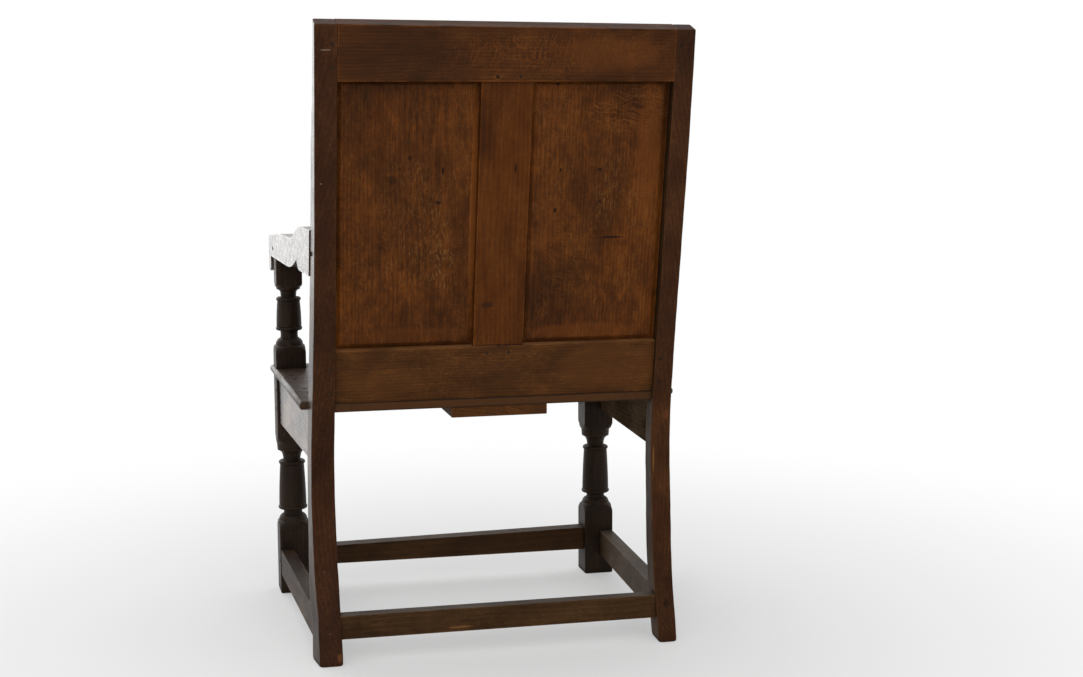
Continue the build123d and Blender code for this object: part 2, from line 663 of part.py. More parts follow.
def front_post(side):
    """One piece from the floor to the arm: square blocks with a turned length below and above the seat"""
    half = FRONT_BLOCK / 2
    arm_half = ARM_BLOCK / 2
    waist = (SEAT_BLOCK_TOP + ARM_BLOCK_BOTTOM) / 2
    squared = block((-half, half), (-half, half), (0, waist))
    squared = squared + block((-arm_half, arm_half), (-arm_half, arm_half), (waist, ARM_REST_HEIGHT))
    post = (squared & turned_envelope()) + front_post_tenon()
    post = Pos(side * FRONT_POST_X, FRONT_POST_Y) * post
    for tenon in (front_rail_tenon, side_rail_front_tenon):
        post = post - tenon(side, MORTISE_END_GAP)
    for tenon in (front_stretcher_tenon, side_stretcher_front_tenon):
        post = post - tenon(side, MORTISE_END_GAP)
    pegs = front_rail_pegs(side) + side_rail_pegs(side) + stretcher_pegs(side) + arm_pegs(side)
    return bored(post, pegs)


# ---- side rails and side stretchers, which widen towards the front ----
def side_line_x(side, y, inset, rear_reach=0.0):
    """Place across the chair of a line from rear post to front post, inset from their outer faces"""
    rear_y = back_y(SEAT_BOTTOM)
    rear_share = (y - BLOCK_REAR_Y) / (rear_y - BLOCK_REAR_Y)
    return post_outer(side, rear_y - y) + side * (rear_share * rear_reach - inset)


def side_bar(side, y, z, inset, thickness, rear_reach=0.0, swell=0.0):
    """Straight bar along one side of the chair, from its rear y to its front y"""
    inner = inset + thickness
    corners = [
        (side_line_x(side, y[0], inset, rear_reach), y[0]),
        (side_line_x(side, y[1], inset, rear_reach), y[1]),
        (side_line_x(side, y[1], inner, rear_reach - swell), y[1]),
        (side_line_x(side, y[0], inner, rear_reach - swell), y[0]),
    ]
    return slab(make_face(Polyline(*corners, close=True)), z)


SIDE_RAIL_Z = (SEAT_BOTTOM - SIDE_RAIL_HEIGHT, SEAT_BOTTOM)
SIDE_RAIL_TENON_Z = (SIDE_RAIL_Z[0] + RAIL_TENON_SHOULDER, SEAT_BOTTOM - RAIL_TENON_SHOULDER)
SIDE_RAIL_TENON_INSET = SIDE_RAIL_INSET + (SIDE_RAIL_THICKNESS - RAIL_TENON_THICKNESS) / 2
SIDE_STRETCHER_Z = (SIDE_STRETCHER_BOTTOM, SIDE_STRETCHER_BOTTOM + SIDE_STRETCHER_HEIGHT)
SIDE_STRETCHER_TENON_Z = (
    SIDE_STRETCHER_BOTTOM + STRETCHER_TENON_SHOULDER,
    SIDE_STRETCHER_Z[1] - STRETCHER_TENON_SHOULDER,
)
SIDE_STRETCHER_TENON_SIDE = (SIDE_STRETCHER_THICKNESS - STRETCHER_TENON_THICKNESS) / 2
SIDE_STRETCHER_TENON_INSET = SIDE_STRETCHER_INSET + SIDE_STRETCHER_TENON_SIDE
TENON_ROOT = 10.0                   # a rear tenon starts this far inside its own bar


def side_rail_rear_tenon(side, gap=0.0):
    face_y = curved_front_y(SIDE_RAIL_TENON_Z[0])
    y = (face_y - TENON_ROOT, face_y + REAR_POST_TENON + gap)
    return side_bar(side, y, SIDE_RAIL_TENON_Z, SIDE_RAIL_TENON_INSET, RAIL_TENON_THICKNESS)


def side_rail_front_tenon(side, gap=0.0):
    y = (BLOCK_REAR_Y, BLOCK_REAR_Y - RAIL_TENON_LENGTH - gap)
    return side_bar(side, y, SIDE_RAIL_TENON_Z, SIDE_RAIL_TENON_INSET, RAIL_TENON_THICKNESS)


def stretcher_tenon(side, y):
    inset = SIDE_STRETCHER_TENON_INSET
    reach = SIDE_STRETCHER_REACH[side]
    return side_bar(side, y, SIDE_STRETCHER_TENON_Z, inset, STRETCHER_TENON_THICKNESS, reach)


def side_stretcher_rear_tenon(side, gap=0.0):
    y = (SIDE_TENON_END_Y + gap, foot_back_y(SIDE_STRETCHER_Z[1]) - FOOT_DEPTH - TENON_ROOT)
    return stretcher_tenon(side, y)


def side_stretcher_front_tenon(side, gap=0.0):
    return stretcher_tenon(side, (BLOCK_REAR_Y, BLOCK_REAR_Y - STRETCHER_TENON_LENGTH - gap))


def side_seat_rail(side):
    """Side rail, its rear shoulder scribed to the curved post"""
    y = (curved_front_y(SIDE_RAIL_Z[0]) + REAR_POST_DEPTH / 2, BLOCK_REAR_Y)
    rail = side_bar(side, y, SIDE_RAIL_Z, SIDE_RAIL_INSET, SIDE_RAIL_THICKNESS)
    rail = rail - sawn_profile()
    rail = rail + side_rail_rear_tenon(side) + side_rail_front_tenon(side)
    return bored(rail, side_rail_pegs(side) + seat_pegs(side))


def side_stretcher(side):
    """Side stretcher, its rear shoulder scribed to the kicked foot"""
    y = (foot_back_y(SIDE_STRETCHER_Z[1]) - FOOT_DEPTH / 2, BLOCK_REAR_Y)
    reach = SIDE_STRETCHER_REACH[side]
    swell = SIDE_STRETCHER_SWELL[side]
    inset = SIDE_STRETCHER_INSET
    bar = side_bar(side, y, SIDE_STRETCHER_Z, inset, SIDE_STRETCHER_THICKNESS, reach, swell)
    bar = bar - sawn_profile()
    bar = bar + side_stretcher_rear_tenon(side) + side_stretcher_front_tenon(side)
    return bored(bar, stretcher_pegs(side))


# ---- front rail, front stretcher and rear stretcher ----
def front_rail_tenon(side, gap=0.0):
    x = side * (FRONT_WIDTH / 2 - FRONT_BLOCK)
    start = FRONT_RAIL_FRONT_Y + (FRONT_RAIL_THICKNESS - RAIL_TENON_THICKNESS) / 2
    z = (SEAT_BOTTOM - FRONT_RAIL_HEIGHT + RAIL_TENON_SHOULDER, SEAT_BOTTOM - RAIL_TENON_SHOULDER)
    return block((x, x + side * (RAIL_TENON_LENGTH + gap)), (start, start + RAIL_TENON_THICKNESS), z)


def front_stretcher_tenon(side, gap=0.0):
    x = side * (FRONT_WIDTH / 2 - FRONT_BLOCK)
    half = STRETCHER_TENON_THICKNESS / 2
    y = (FRONT_POST_Y - half, FRONT_POST_Y + half)
    bottom = FRONT_STRETCHER_BOTTOM[side] + STRETCHER_TENON_SHOULDER
    top = FRONT_STRETCHER_BOTTOM[side] + FRONT_STRETCHER_HEIGHT[side] - STRETCHER_TENON_SHOULDER
    return block((x, x + side * (STRETCHER_TENON_LENGTH + gap)), y, (bottom, top))


def rear_stretcher_tenon(side, gap=0.0):
    x = post_inner(side)
    y = (REAR_STRETCHER_TENON_Y - STRETCHER_TENON_THICKNESS, REAR_STRETCHER_TENON_Y)
    z = (
        REAR_STRETCHER_BOTTOM + STRETCHER_TENON_SHOULDER,
        REAR_STRETCHER_BOTTOM + REAR_STRETCHER_HEIGHT - STRETCHER_TENON_SHOULDER,
    )
    return block((x, x + side * (REAR_STRETCHER_TENON + gap)), y, z)


def front_seat_rail():
    half = FRONT_WIDTH / 2 - FRONT_BLOCK
    z = (SEAT_BOTTOM - FRONT_RAIL_HEIGHT, SEAT_BOTTOM)
    rail = block((-half, half), (FRONT_RAIL_FRONT_Y, FRONT_RAIL_REAR_Y), z)
    rail = rail + front_rail_tenon(LEFT) + front_rail_tenon(RIGHT)
    return bored(rail, front_rail_pegs(LEFT) + front_rail_pegs(RIGHT))


def front_stretcher():
    """Front stretcher, deeper at the sitter's right end than at the left"""
    half = FRONT_WIDTH / 2 - FRONT_BLOCK
    outline = []
    for side in (LEFT, RIGHT):
        bottom = (side * half, FRONT_STRETCHER_BOTTOM[side])
        top = (side * half, FRONT_STRETCHER_BOTTOM[side] + FRONT_STRETCHER_HEIGHT[side])
        outline += [bottom, top] if side == LEFT else [top, bottom]
    rear_face = Plane.XZ.offset(-FRONT_POST_Y - FRONT_STRETCHER_THICKNESS / 2)
    bar = extrude(rear_face * make_face(Polyline(*outline, close=True)), amount=FRONT_STRETCHER_THICKNESS)
    bar = bar + front_stretcher_tenon(LEFT) + front_stretcher_tenon(RIGHT)
    return bored(bar, stretcher_pegs(LEFT) + stretcher_pegs(RIGHT))


def rear_stretcher():
    y = (REAR_STRETCHER_Y - REAR_STRETCHER_THICKNESS, REAR_STRETCHER_Y)
    z = (REAR_STRETCHER_BOTTOM, REAR_STRETCHER_BOTTOM + REAR_STRETCHER_HEIGHT)
    bar = scribed(block(between_posts(), y, z))
    bar = bar + rear_stretcher_tenon(LEFT) + rear_stretcher_tenon(RIGHT)
    return bored(bar, stretcher_pegs(LEFT) + stretcher_pegs(RIGHT))


# ---- seat ----
def seat_blank():
    """The whole seat before it is parted into boards, with its rounded nosing on the sides and front"""
    nosing_rear_y = curved_front_y(SEAT_BOTTOM) - NOSING_GAP
    front_half = FRONT_WIDTH / 2 + SEAT_SIDE_OVERHANG_FRONT
    rear_half = BACK_WIDTH / 2 + SEAT_SIDE_OVERHANG_REAR
    corners = [
        (-rear_half, nosing_rear_y),
        (rear_half, nosing_rear_y),
        (front_half, SEAT_FRONT_Y),
        (-front_half, SEAT_FRONT_Y),
    ]
    seat = slab(make_face(Polyline(*corners, close=True)), (SEAT_BOTTOM, SEAT_HEIGHT))
    rims = seat.faces().sort_by(Axis.Z)
    seat = fillet(rims[0].edges() + rims[-1].edges(), NOSING_RADIUS)
    tail = (nosing_rear_y - 2 * NOSING_RADIUS, SEAT_REAR_Y)
    seat = seat + block((-BACK_WIDTH / 2, BACK_WIDTH / 2), tail, (SEAT_BOTTOM, SEAT_HEIGHT))
    for side in (LEFT, RIGHT):
        seat = seat - rear_post_blank(side)
        half = FRONT_BLOCK / 2 + SEAT_POST_CLEARANCE
        x = side * FRONT_POST_X
        y = (FRONT_POST_Y - half, FRONT_POST_Y + half)
        hole = block((x - half, x + half), y, (0, SEAT_HEIGHT))
        seat = bored(seat - hole, seat_pegs(side))
    return seat


def seat_board(seat, y):
    return seat & block((-FRONT_WIDTH, FRONT_WIDTH), y, (SEAT_BOTTOM, SEAT_HEIGHT))


def seat_batten():
    """Wide board under the seat, front to back, that ties the seat boards together"""
    half = BATTEN_WIDTH / 2
    across = (BATTEN_OFFSET - half, BATTEN_OFFSET + half)
    along = (FRONT_RAIL_REAR_Y, SEAT_REAR_Y - BATTEN_SETBACK)
    return block(across, along, (SEAT_BOTTOM - BATTEN_THICKNESS, SEAT_BOTTOM))


# ---- arms ----
def arm_outer_x(side, y):
    """Outer face of an arm, straight from the rear post to the nose"""
    rear_y = front_face_y(ARM_REAR_TOP)
    share = (rear_y - y) / (rear_y + OVERALL_DEPTH / 2)
    rear_x = post_outer(side, POST_RUN)
    return rear_x + share * (side * (FRONT_WIDTH / 2 + ARM_FRONT_OVERHANG) - rear_x)


def arm_profile():
    """Side profile: level behind, a long drop to the rest, a rounded nose that hangs ahead of the post"""
    nose_y = -OVERALL_DEPTH / 2
    post_y = front_face_y(ARM_REAR_TOP)
    rear_y = post_y + REAR_POST_DEPTH / 2
    drop_y = post_y - ARM_DROP_START
    rest_y = drop_y - ARM_DROP_LENGTH
    cusp_y = post_y - CUSP_SETBACK
    knuckle_y = nose_y + KNUCKLE_DEPTH
    knuckle_radius = KNUCKLE_DEPTH / 2
    rest_z = ARM_REAR_TOP - ARM_DROP
    nose_top = (nose_y + KNUCKLE_TOP_RADIUS, ARM_FRONT_TOP)
    mid_drop = ((drop_y + rest_y) / 2, ARM_REAR_TOP - ARM_DROP / 2)
    top = Line((rear_y, ARM_REAR_TOP), (drop_y, ARM_REAR_TOP))
    upper_drop = TangentArc((drop_y, ARM_REAR_TOP), mid_drop, tangent=(-1, 0))
    lower_drop = TangentArc((rest_y, rest_z), mid_drop, tangent=(1, 0))
    rest = TangentArc((rest_y, rest_z), nose_top, tangent=(-1, 0))
    nose = TangentArc((nose_y, ARM_FRONT_TOP - KNUCKLE_TOP_RADIUS), nose_top, tangent=(0, 1))
    knuckle_z = KNUCKLE_BOTTOM + knuckle_radius
    face = Line((nose_y, ARM_FRONT_TOP - KNUCKLE_TOP_RADIUS), (nose_y, knuckle_z))
    knuckle_low = (nose_y + knuckle_radius, KNUCKLE_BOTTOM)
    knuckle = ThreePointArc((nose_y, knuckle_z), knuckle_low, (knuckle_y, knuckle_z))
    rise = Line((knuckle_y, knuckle_z), (knuckle_y, ARM_REST_HEIGHT))
    front_lobe_y = cusp_y - FRONT_LOBE_LENGTH
    rear_lobe_y = cusp_y + REAR_LOBE_LENGTH
    cusp = (cusp_y, CUSP_HEIGHT)
    level = Line((knuckle_y, ARM_REST_HEIGHT), (front_lobe_y, ARM_REST_HEIGHT))
    front_lobe = TangentArc((front_lobe_y, ARM_REST_HEIGHT), cusp, tangent=(1, 0))
    rear_lobe = TangentArc((rear_lobe_y, ARM_REAR_BOTTOM), cusp, tangent=(-1, 0))
    heel = Line((rear_lobe_y, ARM_REAR_BOTTOM), (rear_y, ARM_REAR_BOTTOM))
    end = Line((rear_y, ARM_REAR_BOTTOM), (rear_y, ARM_REAR_TOP))
    over = [top, upper_drop, lower_drop, rest, nose]
    under = [face, knuckle, rise, level, front_lobe, rear_lobe, heel, end]
    return make_face(over + under)


def arm_plan(side):
    """Plan outline, widening from the rear post to the nose"""
    rear_y = BACK_TOP_Y
    nose_y = -OVERALL_DEPTH / 2
    inner_front = arm_outer_x(side, nose_y) - side * ARM_FRONT_WIDTH
    corners = [
        (post_outer(side, POST_RUN), rear_y),
        (post_outer(side, POST_RUN), front_face_y(ARM_REAR_TOP)),
        (arm_outer_x(side, nose_y), nose_y),
        (inner_front, nose_y),
        (post_inner(side, POST_RUN), front_face_y(ARM_REAR_TOP)),
        (post_inner(side, POST_RUN), rear_y),
    ]
    return make_face(Polyline(*corners, close=True))


def arm_rear_tenon(side, gap=0.0):
    outer = post_outer(side) - side * ARM_TENON_INSET
    middle = (ARM_REAR_TOP + ARM_REAR_BOTTOM) / 2
    face_y = front_face_y(middle)
    y = (face_y - REAR_POST_TENON, face_y + REAR_POST_TENON + gap)
    z = (middle - ARM_TENON_HEIGHT / 2, middle + ARM_TENON_HEIGHT / 2)
    return block((outer, outer - side * ARM_TENON_THICKNESS), y, z)


def arm(side):
    shaped = extrude(Plane.YZ.offset(-FRONT_WIDTH) * arm_profile(), amount=2 * FRONT_WIDTH)
    body = shaped & slab(arm_plan(side), (KNUCKLE_BOTTOM, ARM_REAR_TOP))
    body = body - leaning((-FRONT_WIDTH, FRONT_WIDTH), (0, SLOPE_TOP), (-REAR_POST_DEPTH, REAR_POST_DEPTH))
    body = body + arm_rear_tenon(side)
    body = body - Pos(side * FRONT_POST_X, FRONT_POST_Y) * front_post_tenon(MORTISE_END_GAP)
    return bored(body, arm_pegs(side))


# ---- build and write every piece ----
def all_pegs(places):
    return [peg(*place) for place in places]


def chair():
    """Every piece of the chair by name"""
    seat = seat_blank()
    rear_joint = SEAT_REAR_Y - REAR_BOARD_WIDTH
    middle_joint = rear_joint - MIDDLE_BOARD_WIDTH
    pieces = {
        "top_back_rail": [top_back_rail()],
        "lower_back_rail": [lower_back_rail()],
        "back_muntin": [back_muntin()],
        "front_seat_rail": [front_seat_rail()],
        "front_stretcher": [front_stretcher()],
        "rear_stretcher": [rear_stretcher()],
        "seat_board_front": [seat_board(seat, (SEAT_FRONT_Y, middle_joint))],
        "seat_board_middle": [seat_board(seat, (middle_joint, rear_joint))],
        "seat_board_rear": [seat_board(seat, (rear_joint, SEAT_REAR_Y))],
        "seat_batten": [seat_batten()],
        "back_rail_pegs": all_pegs(back_rail_pegs(LEFT) + back_rail_pegs(RIGHT)),
        "muntin_pegs": all_pegs(muntin_pegs()),
        "side_rail_pegs": all_pegs(side_rail_pegs(LEFT) + side_rail_pegs(RIGHT)),
        "front_rail_pegs": all_pegs(front_rail_pegs(LEFT) + front_rail_pegs(RIGHT)),
        "stretcher_pegs": all_pegs(stretcher_pegs(LEFT) + stretcher_pegs(RIGHT)),
        "arm_pegs": all_pegs(arm_pegs(LEFT) + arm_pegs(RIGHT)),
        "seat_pegs": all_pegs(seat_pegs(LEFT) + seat_pegs(RIGHT)),
    }
    for word, side in (("left", LEFT), ("right", RIGHT)):
        pieces["rear_post_" + word] = [rear_post(side)]
        pieces["front_post_" + word] = [front_post(side)]
        pieces["arm_" + word] = [arm(side)]
        pieces["back_panel_" + word] = [back_panel(side)]
        pieces["side_seat_rail_" + word] = [side_seat_rail(side)]
        pieces["side_stretcher_" + word] = [side_stretcher(side)]
    return pieces


os.makedirs("parts", exist_ok=True)
for name, bodies in chair().items():
    solids = [solid for body in bodies for solid in body.solids()]
    export_step(Compound(solids), os.path.join("parts", name + ".step"))
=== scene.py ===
import math
import random

import bmesh
import bpy
from mathutils import Matrix, Vector, noise


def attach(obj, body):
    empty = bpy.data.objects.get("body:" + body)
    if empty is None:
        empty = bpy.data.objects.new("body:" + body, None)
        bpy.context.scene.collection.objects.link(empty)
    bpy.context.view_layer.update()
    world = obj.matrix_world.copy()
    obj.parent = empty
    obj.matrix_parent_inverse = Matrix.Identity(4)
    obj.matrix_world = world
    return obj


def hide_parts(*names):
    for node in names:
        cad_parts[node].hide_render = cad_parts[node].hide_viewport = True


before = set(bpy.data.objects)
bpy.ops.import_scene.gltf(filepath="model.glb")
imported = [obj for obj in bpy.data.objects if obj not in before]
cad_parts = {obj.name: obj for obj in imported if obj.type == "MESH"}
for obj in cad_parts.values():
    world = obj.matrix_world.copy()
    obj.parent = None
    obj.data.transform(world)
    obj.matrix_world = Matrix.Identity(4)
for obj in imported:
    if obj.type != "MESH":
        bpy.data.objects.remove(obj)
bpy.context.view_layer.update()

# ---- sizes shared with the CAD source, in metres ----
RAKE = math.radians(11.72)
SEAT_HEIGHT = 0.4455
BACK_ORIGIN = Vector((0.0, 0.20794, SEAT_HEIGHT))
BACK_UP = Vector((0.0, math.sin(RAKE), math.cos(RAKE)))
BACK_IN = Vector((0.0, -math.cos(RAKE), math.sin(RAKE)))
BACK_HALF = 0.3178
REAR_POST_WIDTH = {1: 0.0392, -1: 0.0335}
REAR_POST_DEPTH = 0.038
POST_RUN = REAR_POST_DEPTH / math.cos(RAKE)
FOOT_SPLAY = math.radians(18.3)
BEND_HEIGHT = 0.2505
BEND_RADIUS = 0.700
FOOT_DEPTH = 0.056
TOP_PITCH = math.radians(15.6)
TOP_FALL = 0.0059
OVERALL_HEIGHT = 1.0875
BACK_TOP_Z = OVERALL_HEIGHT - REAR_POST_DEPTH / math.cos(TOP_PITCH - RAKE) * math.sin(TOP_PITCH)
SIDE_TAPER = 0.0425
FRONT_POST_X = 0.308
FRONT_POST_Y = -0.2764
MUNTIN_EDGE = 0.0409                # X of the muntin's edge on the sitter's left


def on_back(x, slope, recess):
    """Point on the back: across, up its slope from the seat, and in from the posts' rear faces"""
    return BACK_ORIGIN + Vector((x, 0, 0)) + BACK_UP * slope + BACK_IN * recess


# ---- the tones of old oak in the photograph, as linear colours: dark, middle, light ----
POST = ((0.019, 0.0070, 0.0034), (0.041, 0.0145, 0.0060), (0.078, 0.0290, 0.0098))
RIGHT_POST = ((0.020, 0.0073, 0.0034), (0.044, 0.0156, 0.0061), (0.086, 0.0320, 0.0102))
RAIL = ((0.024, 0.0088, 0.0032), (0.061, 0.0200, 0.0055), (0.152, 0.0460, 0.0088))
PANEL = ((0.024, 0.0088, 0.0032), (0.071, 0.0215, 0.0047), (0.172, 0.0500, 0.0080))
MUNTIN = ((0.026, 0.0086, 0.0028), (0.082, 0.0232, 0.0040), (0.150, 0.0450, 0.0070))
LOW = ((0.020, 0.0100, 0.0048), (0.048, 0.0225, 0.0090), (0.092, 0.0460, 0.0180))
# the front posts' dark dusty oak, darkened further as painted shade
SHADED_TURNED = ((0.009, 0.0050, 0.0028), (0.022, 0.0120, 0.0066), (0.055, 0.0320, 0.0180))
# a paler, greyer copy of the posts' oak for their outer faces: partly painted light
LIT_SIDE = ((0.014, 0.0075, 0.0040), (0.044, 0.0225, 0.0122), (0.130, 0.0820, 0.0540))
# paler oak for the left side rail: partly painted light on a lit side face
LIT_SIDE_RAIL = ((0.012, 0.0065, 0.0036), (0.056, 0.0310, 0.0185), (0.300, 0.2050, 0.1450))
STRETCHER_SIDE = ((0.014, 0.0078, 0.0042), (0.036, 0.0200, 0.0115), (0.090, 0.0600, 0.0400))
INNER_SIDE = ((0.026, 0.0165, 0.0100), (0.067, 0.0425, 0.0248), (0.130, 0.0880, 0.0570))
LOWER_RAIL = ((0.026, 0.0110, 0.0042), (0.071, 0.0260, 0.0073), (0.172, 0.0580, 0.0122))
PEG = ((0.015, 0.0080, 0.0045), (0.038, 0.0200, 0.0105), (0.070, 0.0400, 0.0220))
SEAT = ((0.013, 0.0070, 0.0040), (0.035, 0.0183, 0.0105), (0.080, 0.0460, 0.0280))
REAR_BOARD = ((0.015, 0.0076, 0.0041), (0.038, 0.0185, 0.0098), (0.084, 0.0440, 0.0230))
REAR_LOW = ((0.022, 0.0110, 0.0050), (0.056, 0.0265, 0.0100), (0.105, 0.0520, 0.0190))
ARM = ((0.024, 0.0140, 0.0090), (0.064, 0.0375, 0.0250), (0.145, 0.1000, 0.0760))

BLACK = (0.006, 0.004, 0.003)
OCHRE = (0.190, 0.085, 0.024)
GLOW = (0.165, 0.0470, 0.0090)
FIGURE = (0.175, 0.0620, 0.0135)
# painted light that lifts a panel margin lying in shade
MARGIN_HIGHLIGHT = (0.230, 0.0720, 0.0160)
# painted highlight on the lower rail's lit ledge, laid on like dust
LEDGE_HIGHLIGHT = (0.230, 0.105, 0.040)
# grime in corners and recesses, which also stands for the shade there: painted shade
GRIME_AND_SHADE = (0.010, 0.007, 0.004)
HOUSE_DUST = (0.13, 0.115, 0.10)
SPECK = (0.150, 0.100, 0.060)


def shaded(colour, share):
    return tuple(share * part for part in colour)


# ---- node helpers ----
class Shader:
    """The nodes of one material or world"""

    def __init__(self, owner):
        owner.use_nodes = True
        self.tree = owner.node_tree
        self.coords = self.node("TexCoord").outputs
        self.place = self.coords["Object"]

    def node(self, kind, **settings):
        made = self.tree.nodes.new("ShaderNode" + kind)
        for key, value in settings.items():
            setattr(made, key, value)
        return made

    def plug(self, socket, value):
        if isinstance(value, bpy.types.NodeSocket):
            self.tree.links.new(value, socket)
        elif value is not None:
            socket.default_value = value

    def math(self, operation, a, b=None, c=None, clamp=False):
        made = self.node("Math", operation=operation, use_clamp=clamp)
        for socket, value in zip(made.inputs, (a, b, c)):
            self.plug(socket, value)
        return made.outputs[0]

    def added(self, total, parts, centred=False):
        """The total and each value times its share; centred values count from 0.5"""
        for value, share in parts:
            if centred:
                value = self.math("SUBTRACT", value, 0.5)
            total = self.math("MULTIPLY_ADD", value, share, total)
        return total

    def vector(self, operation, a, b=None, scale=None):
        made = self.node("VectorMath", operation=operation)
        self.plug(made.inputs[0], a)
        self.plug(made.inputs[1], b)
        if scale is not None:
            self.plug(made.inputs["Scale"], scale)
        return made.outputs["Value" if operation in ("LENGTH", "DOT_PRODUCT") else "Vector"]

    def mapped(self, place, turn=(0, 0, 0), scale=(1, 1, 1)):
        made = self.node("Mapping")
        self.plug(made.inputs["Vector"], place)
        made.inputs["Rotation"].default_value = turn
        made.inputs["Scale"].default_value = scale
        return made.outputs[0]

    def noise(self, place, scale=1.0, detail=2.0, rough=0.5, distortion=0.0):
        made = self.node("TexNoise")
        for key, value in zip(("Vector", "Scale", "Detail", "Roughness", "Distortion"),
                              (place, scale, detail, rough, distortion)):
            self.plug(made.inputs[key], value)
        return made.outputs[0]

    def grain(self, place, waves, *shape):
        """Noise with its own number of waves per metre along each axis"""
        return self.noise(self.vector("MULTIPLY", place, waves), 1.0, *shape)

    def step(self, value, low, high, start=0.0, end=1.0, kind="SMOOTHSTEP"):
        """Goes from start to end as value goes from low to high"""
        made = self.node("MapRange", interpolation_type=kind)
        for socket, given in zip(made.inputs, (value, low, high, start, end)):
            self.plug(socket, given)
        return made.outputs[0]

    def mix(self, share, a, b):
        made = self.node("Mix", data_type="RGBA")
        self.plug(made.inputs[0], share)
        for socket, colour in zip(made.inputs[6:8], (a, b)):
            self.plug(socket, colour if isinstance(colour, bpy.types.NodeSocket) else (*colour, 1))
        return made.outputs[2]

    def laid(self, colour, mask, strength, over):
        """One colour laid over another where the mask is"""
        return self.mix(self.math("MULTIPLY", mask, strength), colour, over)

    def ramp(self, value, stops):
        made = self.node("ValToRGB")
        self.plug(made.inputs[0], value)
        while len(made.color_ramp.elements) < len(stops):
            made.color_ramp.elements.new(0.5)
        for element, (position, colour) in zip(made.color_ramp.elements, stops):
            element.position = position
            element.color = (*colour, 1)
        return made.outputs[0]

    def spot(self, at, size, ragged=0.35):
        """Soft-edged mark: 1 inside an ellipsoid about a point, 0 outside"""
        near = self.vector("DIVIDE", self.vector("SUBTRACT", self.place, tuple(at)), tuple(size))
        blur = self.noise(self.place, 1.2 / max(min(size), 0.002), 3.0, 0.6)
        length = self.added(self.vector("LENGTH", near), ((blur, 2 * ragged),), centred=True)
        return self.step(length, 0.55, 1.0, 1.0, 0.0)

    def zoned(self, share, zones, ragged):
        """A share raised by a strength inside each zone"""
        spots = [(self.spot(at, size, ragged), strength) for at, size, strength in zones]
        return self.added(share, spots)


# ---- old oak ----
# how the grain, which runs along Z in the patterns, is turned to run along a piece
UPRIGHT = (0.0, 0.0, 0.0)
ALONG_BACK = (RAKE, 0.0, 0.0)
ALONG_X = (0.0, -math.pi / 2, 0.0)
ALONG_Y = (math.pi / 2, 0.0, 0.0)

# waves per metre across and along the grain, then the noise's detail, roughness and distortion
FIBRE = ((420, 420, 9), 4.0, 0.62, 0.3)
HAIR = ((1500, 1500, 26), 2.0, 0.6)
MOTTLE = ((7.5, 7.5, 4.0), 3.0, 0.55, 0.6)
CLOUD = ((30, 30, 13), 4.0, 0.62, 0.4)
BLOTCH = ((75, 75, 48), 5.0, 0.7, 0.5)
RING_WOBBLE = ((9, 9, 2.2),)
PORES = ((900, 900, 30),)
RIBBON_WAVER = ((26, 26, 18),)
FLECK_PATCH = ((10, 10, 6),)
STREAKS = ((560, 560, 110), 5.0, 0.75)
TOOL_MARKS = ((26, 26, 3.0), 2.0, 0.5, 0.3)
RIBBON_WAVES = (34, 34, 250)
RIBBON_BEND = (1.0, 0.6, 7.0)
KNOCK_WAVES = (44, 44, 17)
RING_GAP = 0.0030
RING_SHARE = 0.10
KNOCK_STRENGTH = 0.65
FLOOR_GLOSS = 0.06
COAT_ROUGHNESS = 0.3
RELIEF = 0.0009
RELIEF_STRENGTH = 0.75

# what a piece looks like unless it says otherwise: how strongly each pattern shows in its tone,
# then figure, wear, dirt and painted corner shade, dust and painted highlights, gloss and tool
# marks
PLAIN_LOOK = dict(
    fibre=0.42, hair=0.20, mottle=0.75, cloud=0.50, blotch=0.30,
    fleck=0.25, fleck_colour=None, figure_turn=(0, 0, 0), figured_zones=(),
    speckle=0.0, worn_zones=(), marks=(), rub=0.45, rub_radius=0.004,
    dirt=0.7, dirt_reach=0.016, dust=0.0, dust_colour=HOUSE_DUST,
    roughness=0.5, specular=0.35, waxed_above=None, coat=0.0, planed=1.6,
)


def growth_rings(s, wood, shift, dice):
    """Rings round a heart outside the board, drawn out along the grain"""
    heart = (dice.uniform(0.05, 0.12), dice.uniform(-0.06, 0.06), 0.0)
    lean = dice.uniform(-0.035, 0.035)
    outward = s.vector("SUBTRACT", wood, tuple(a + b for a, b in zip(shift, heart)))
    flat = s.mapped(outward, turn=(lean, -lean, 0), scale=(1, 1, 0))
    radius = s.added(s.vector("LENGTH", flat), ((s.grain(wood, *RING_WOBBLE), 0.022),))
    return s.math("POWER", s.math("PINGPONG", s.math("MULTIPLY", radius, 1.0 / RING_GAP), 1.0), 1.8)


def ray_fleck(s, wood, look):
    """Short wavy ribbons lying across the grain, in patches and where the photograph shows them"""
    slanted = s.vector("MULTIPLY", s.mapped(wood, turn=look["figure_turn"]), RIBBON_WAVES)
    waver = s.vector("SCALE", RIBBON_BEND, scale=s.grain(wood, *RIBBON_WAVER))
    bent = s.vector("ADD", slanted, waver)
    ribbon = s.math("ABSOLUTE", s.math("SUBTRACT", s.noise(bent, 1.0, 3.0, 0.55), 0.5))
    patch = s.step(s.grain(wood, *FLECK_PATCH), 0.45, 0.66)
    figure = s.zoned(s.math("MULTIPLY", patch, look["fleck"]), look["figured_zones"], ragged=0.6)
    return s.math("MULTIPLY", s.step(ribbon, 0.0, 0.045, 1.0, 0.0), figure, clamp=True)


def old_knocks(s, wood):
    """Small dents drawn out along the grain, in about one cell in ten"""
    cells = s.node("TexVoronoi", feature="F1", distance="EUCLIDEAN")
    s.plug(cells.inputs["Vector"], s.vector("MULTIPLY", wood, KNOCK_WAVES))
    cells.inputs["Scale"].default_value = 1.0
    chosen = s.step(s.vector("DOT_PRODUCT", cells.outputs["Color"], (0.0, 0.0, 1.0)), 0.90, 0.92)
    return s.math("MULTIPLY", s.step(cells.outputs["Distance"], 0.03, 0.13, 1.0, 0.0), chosen)


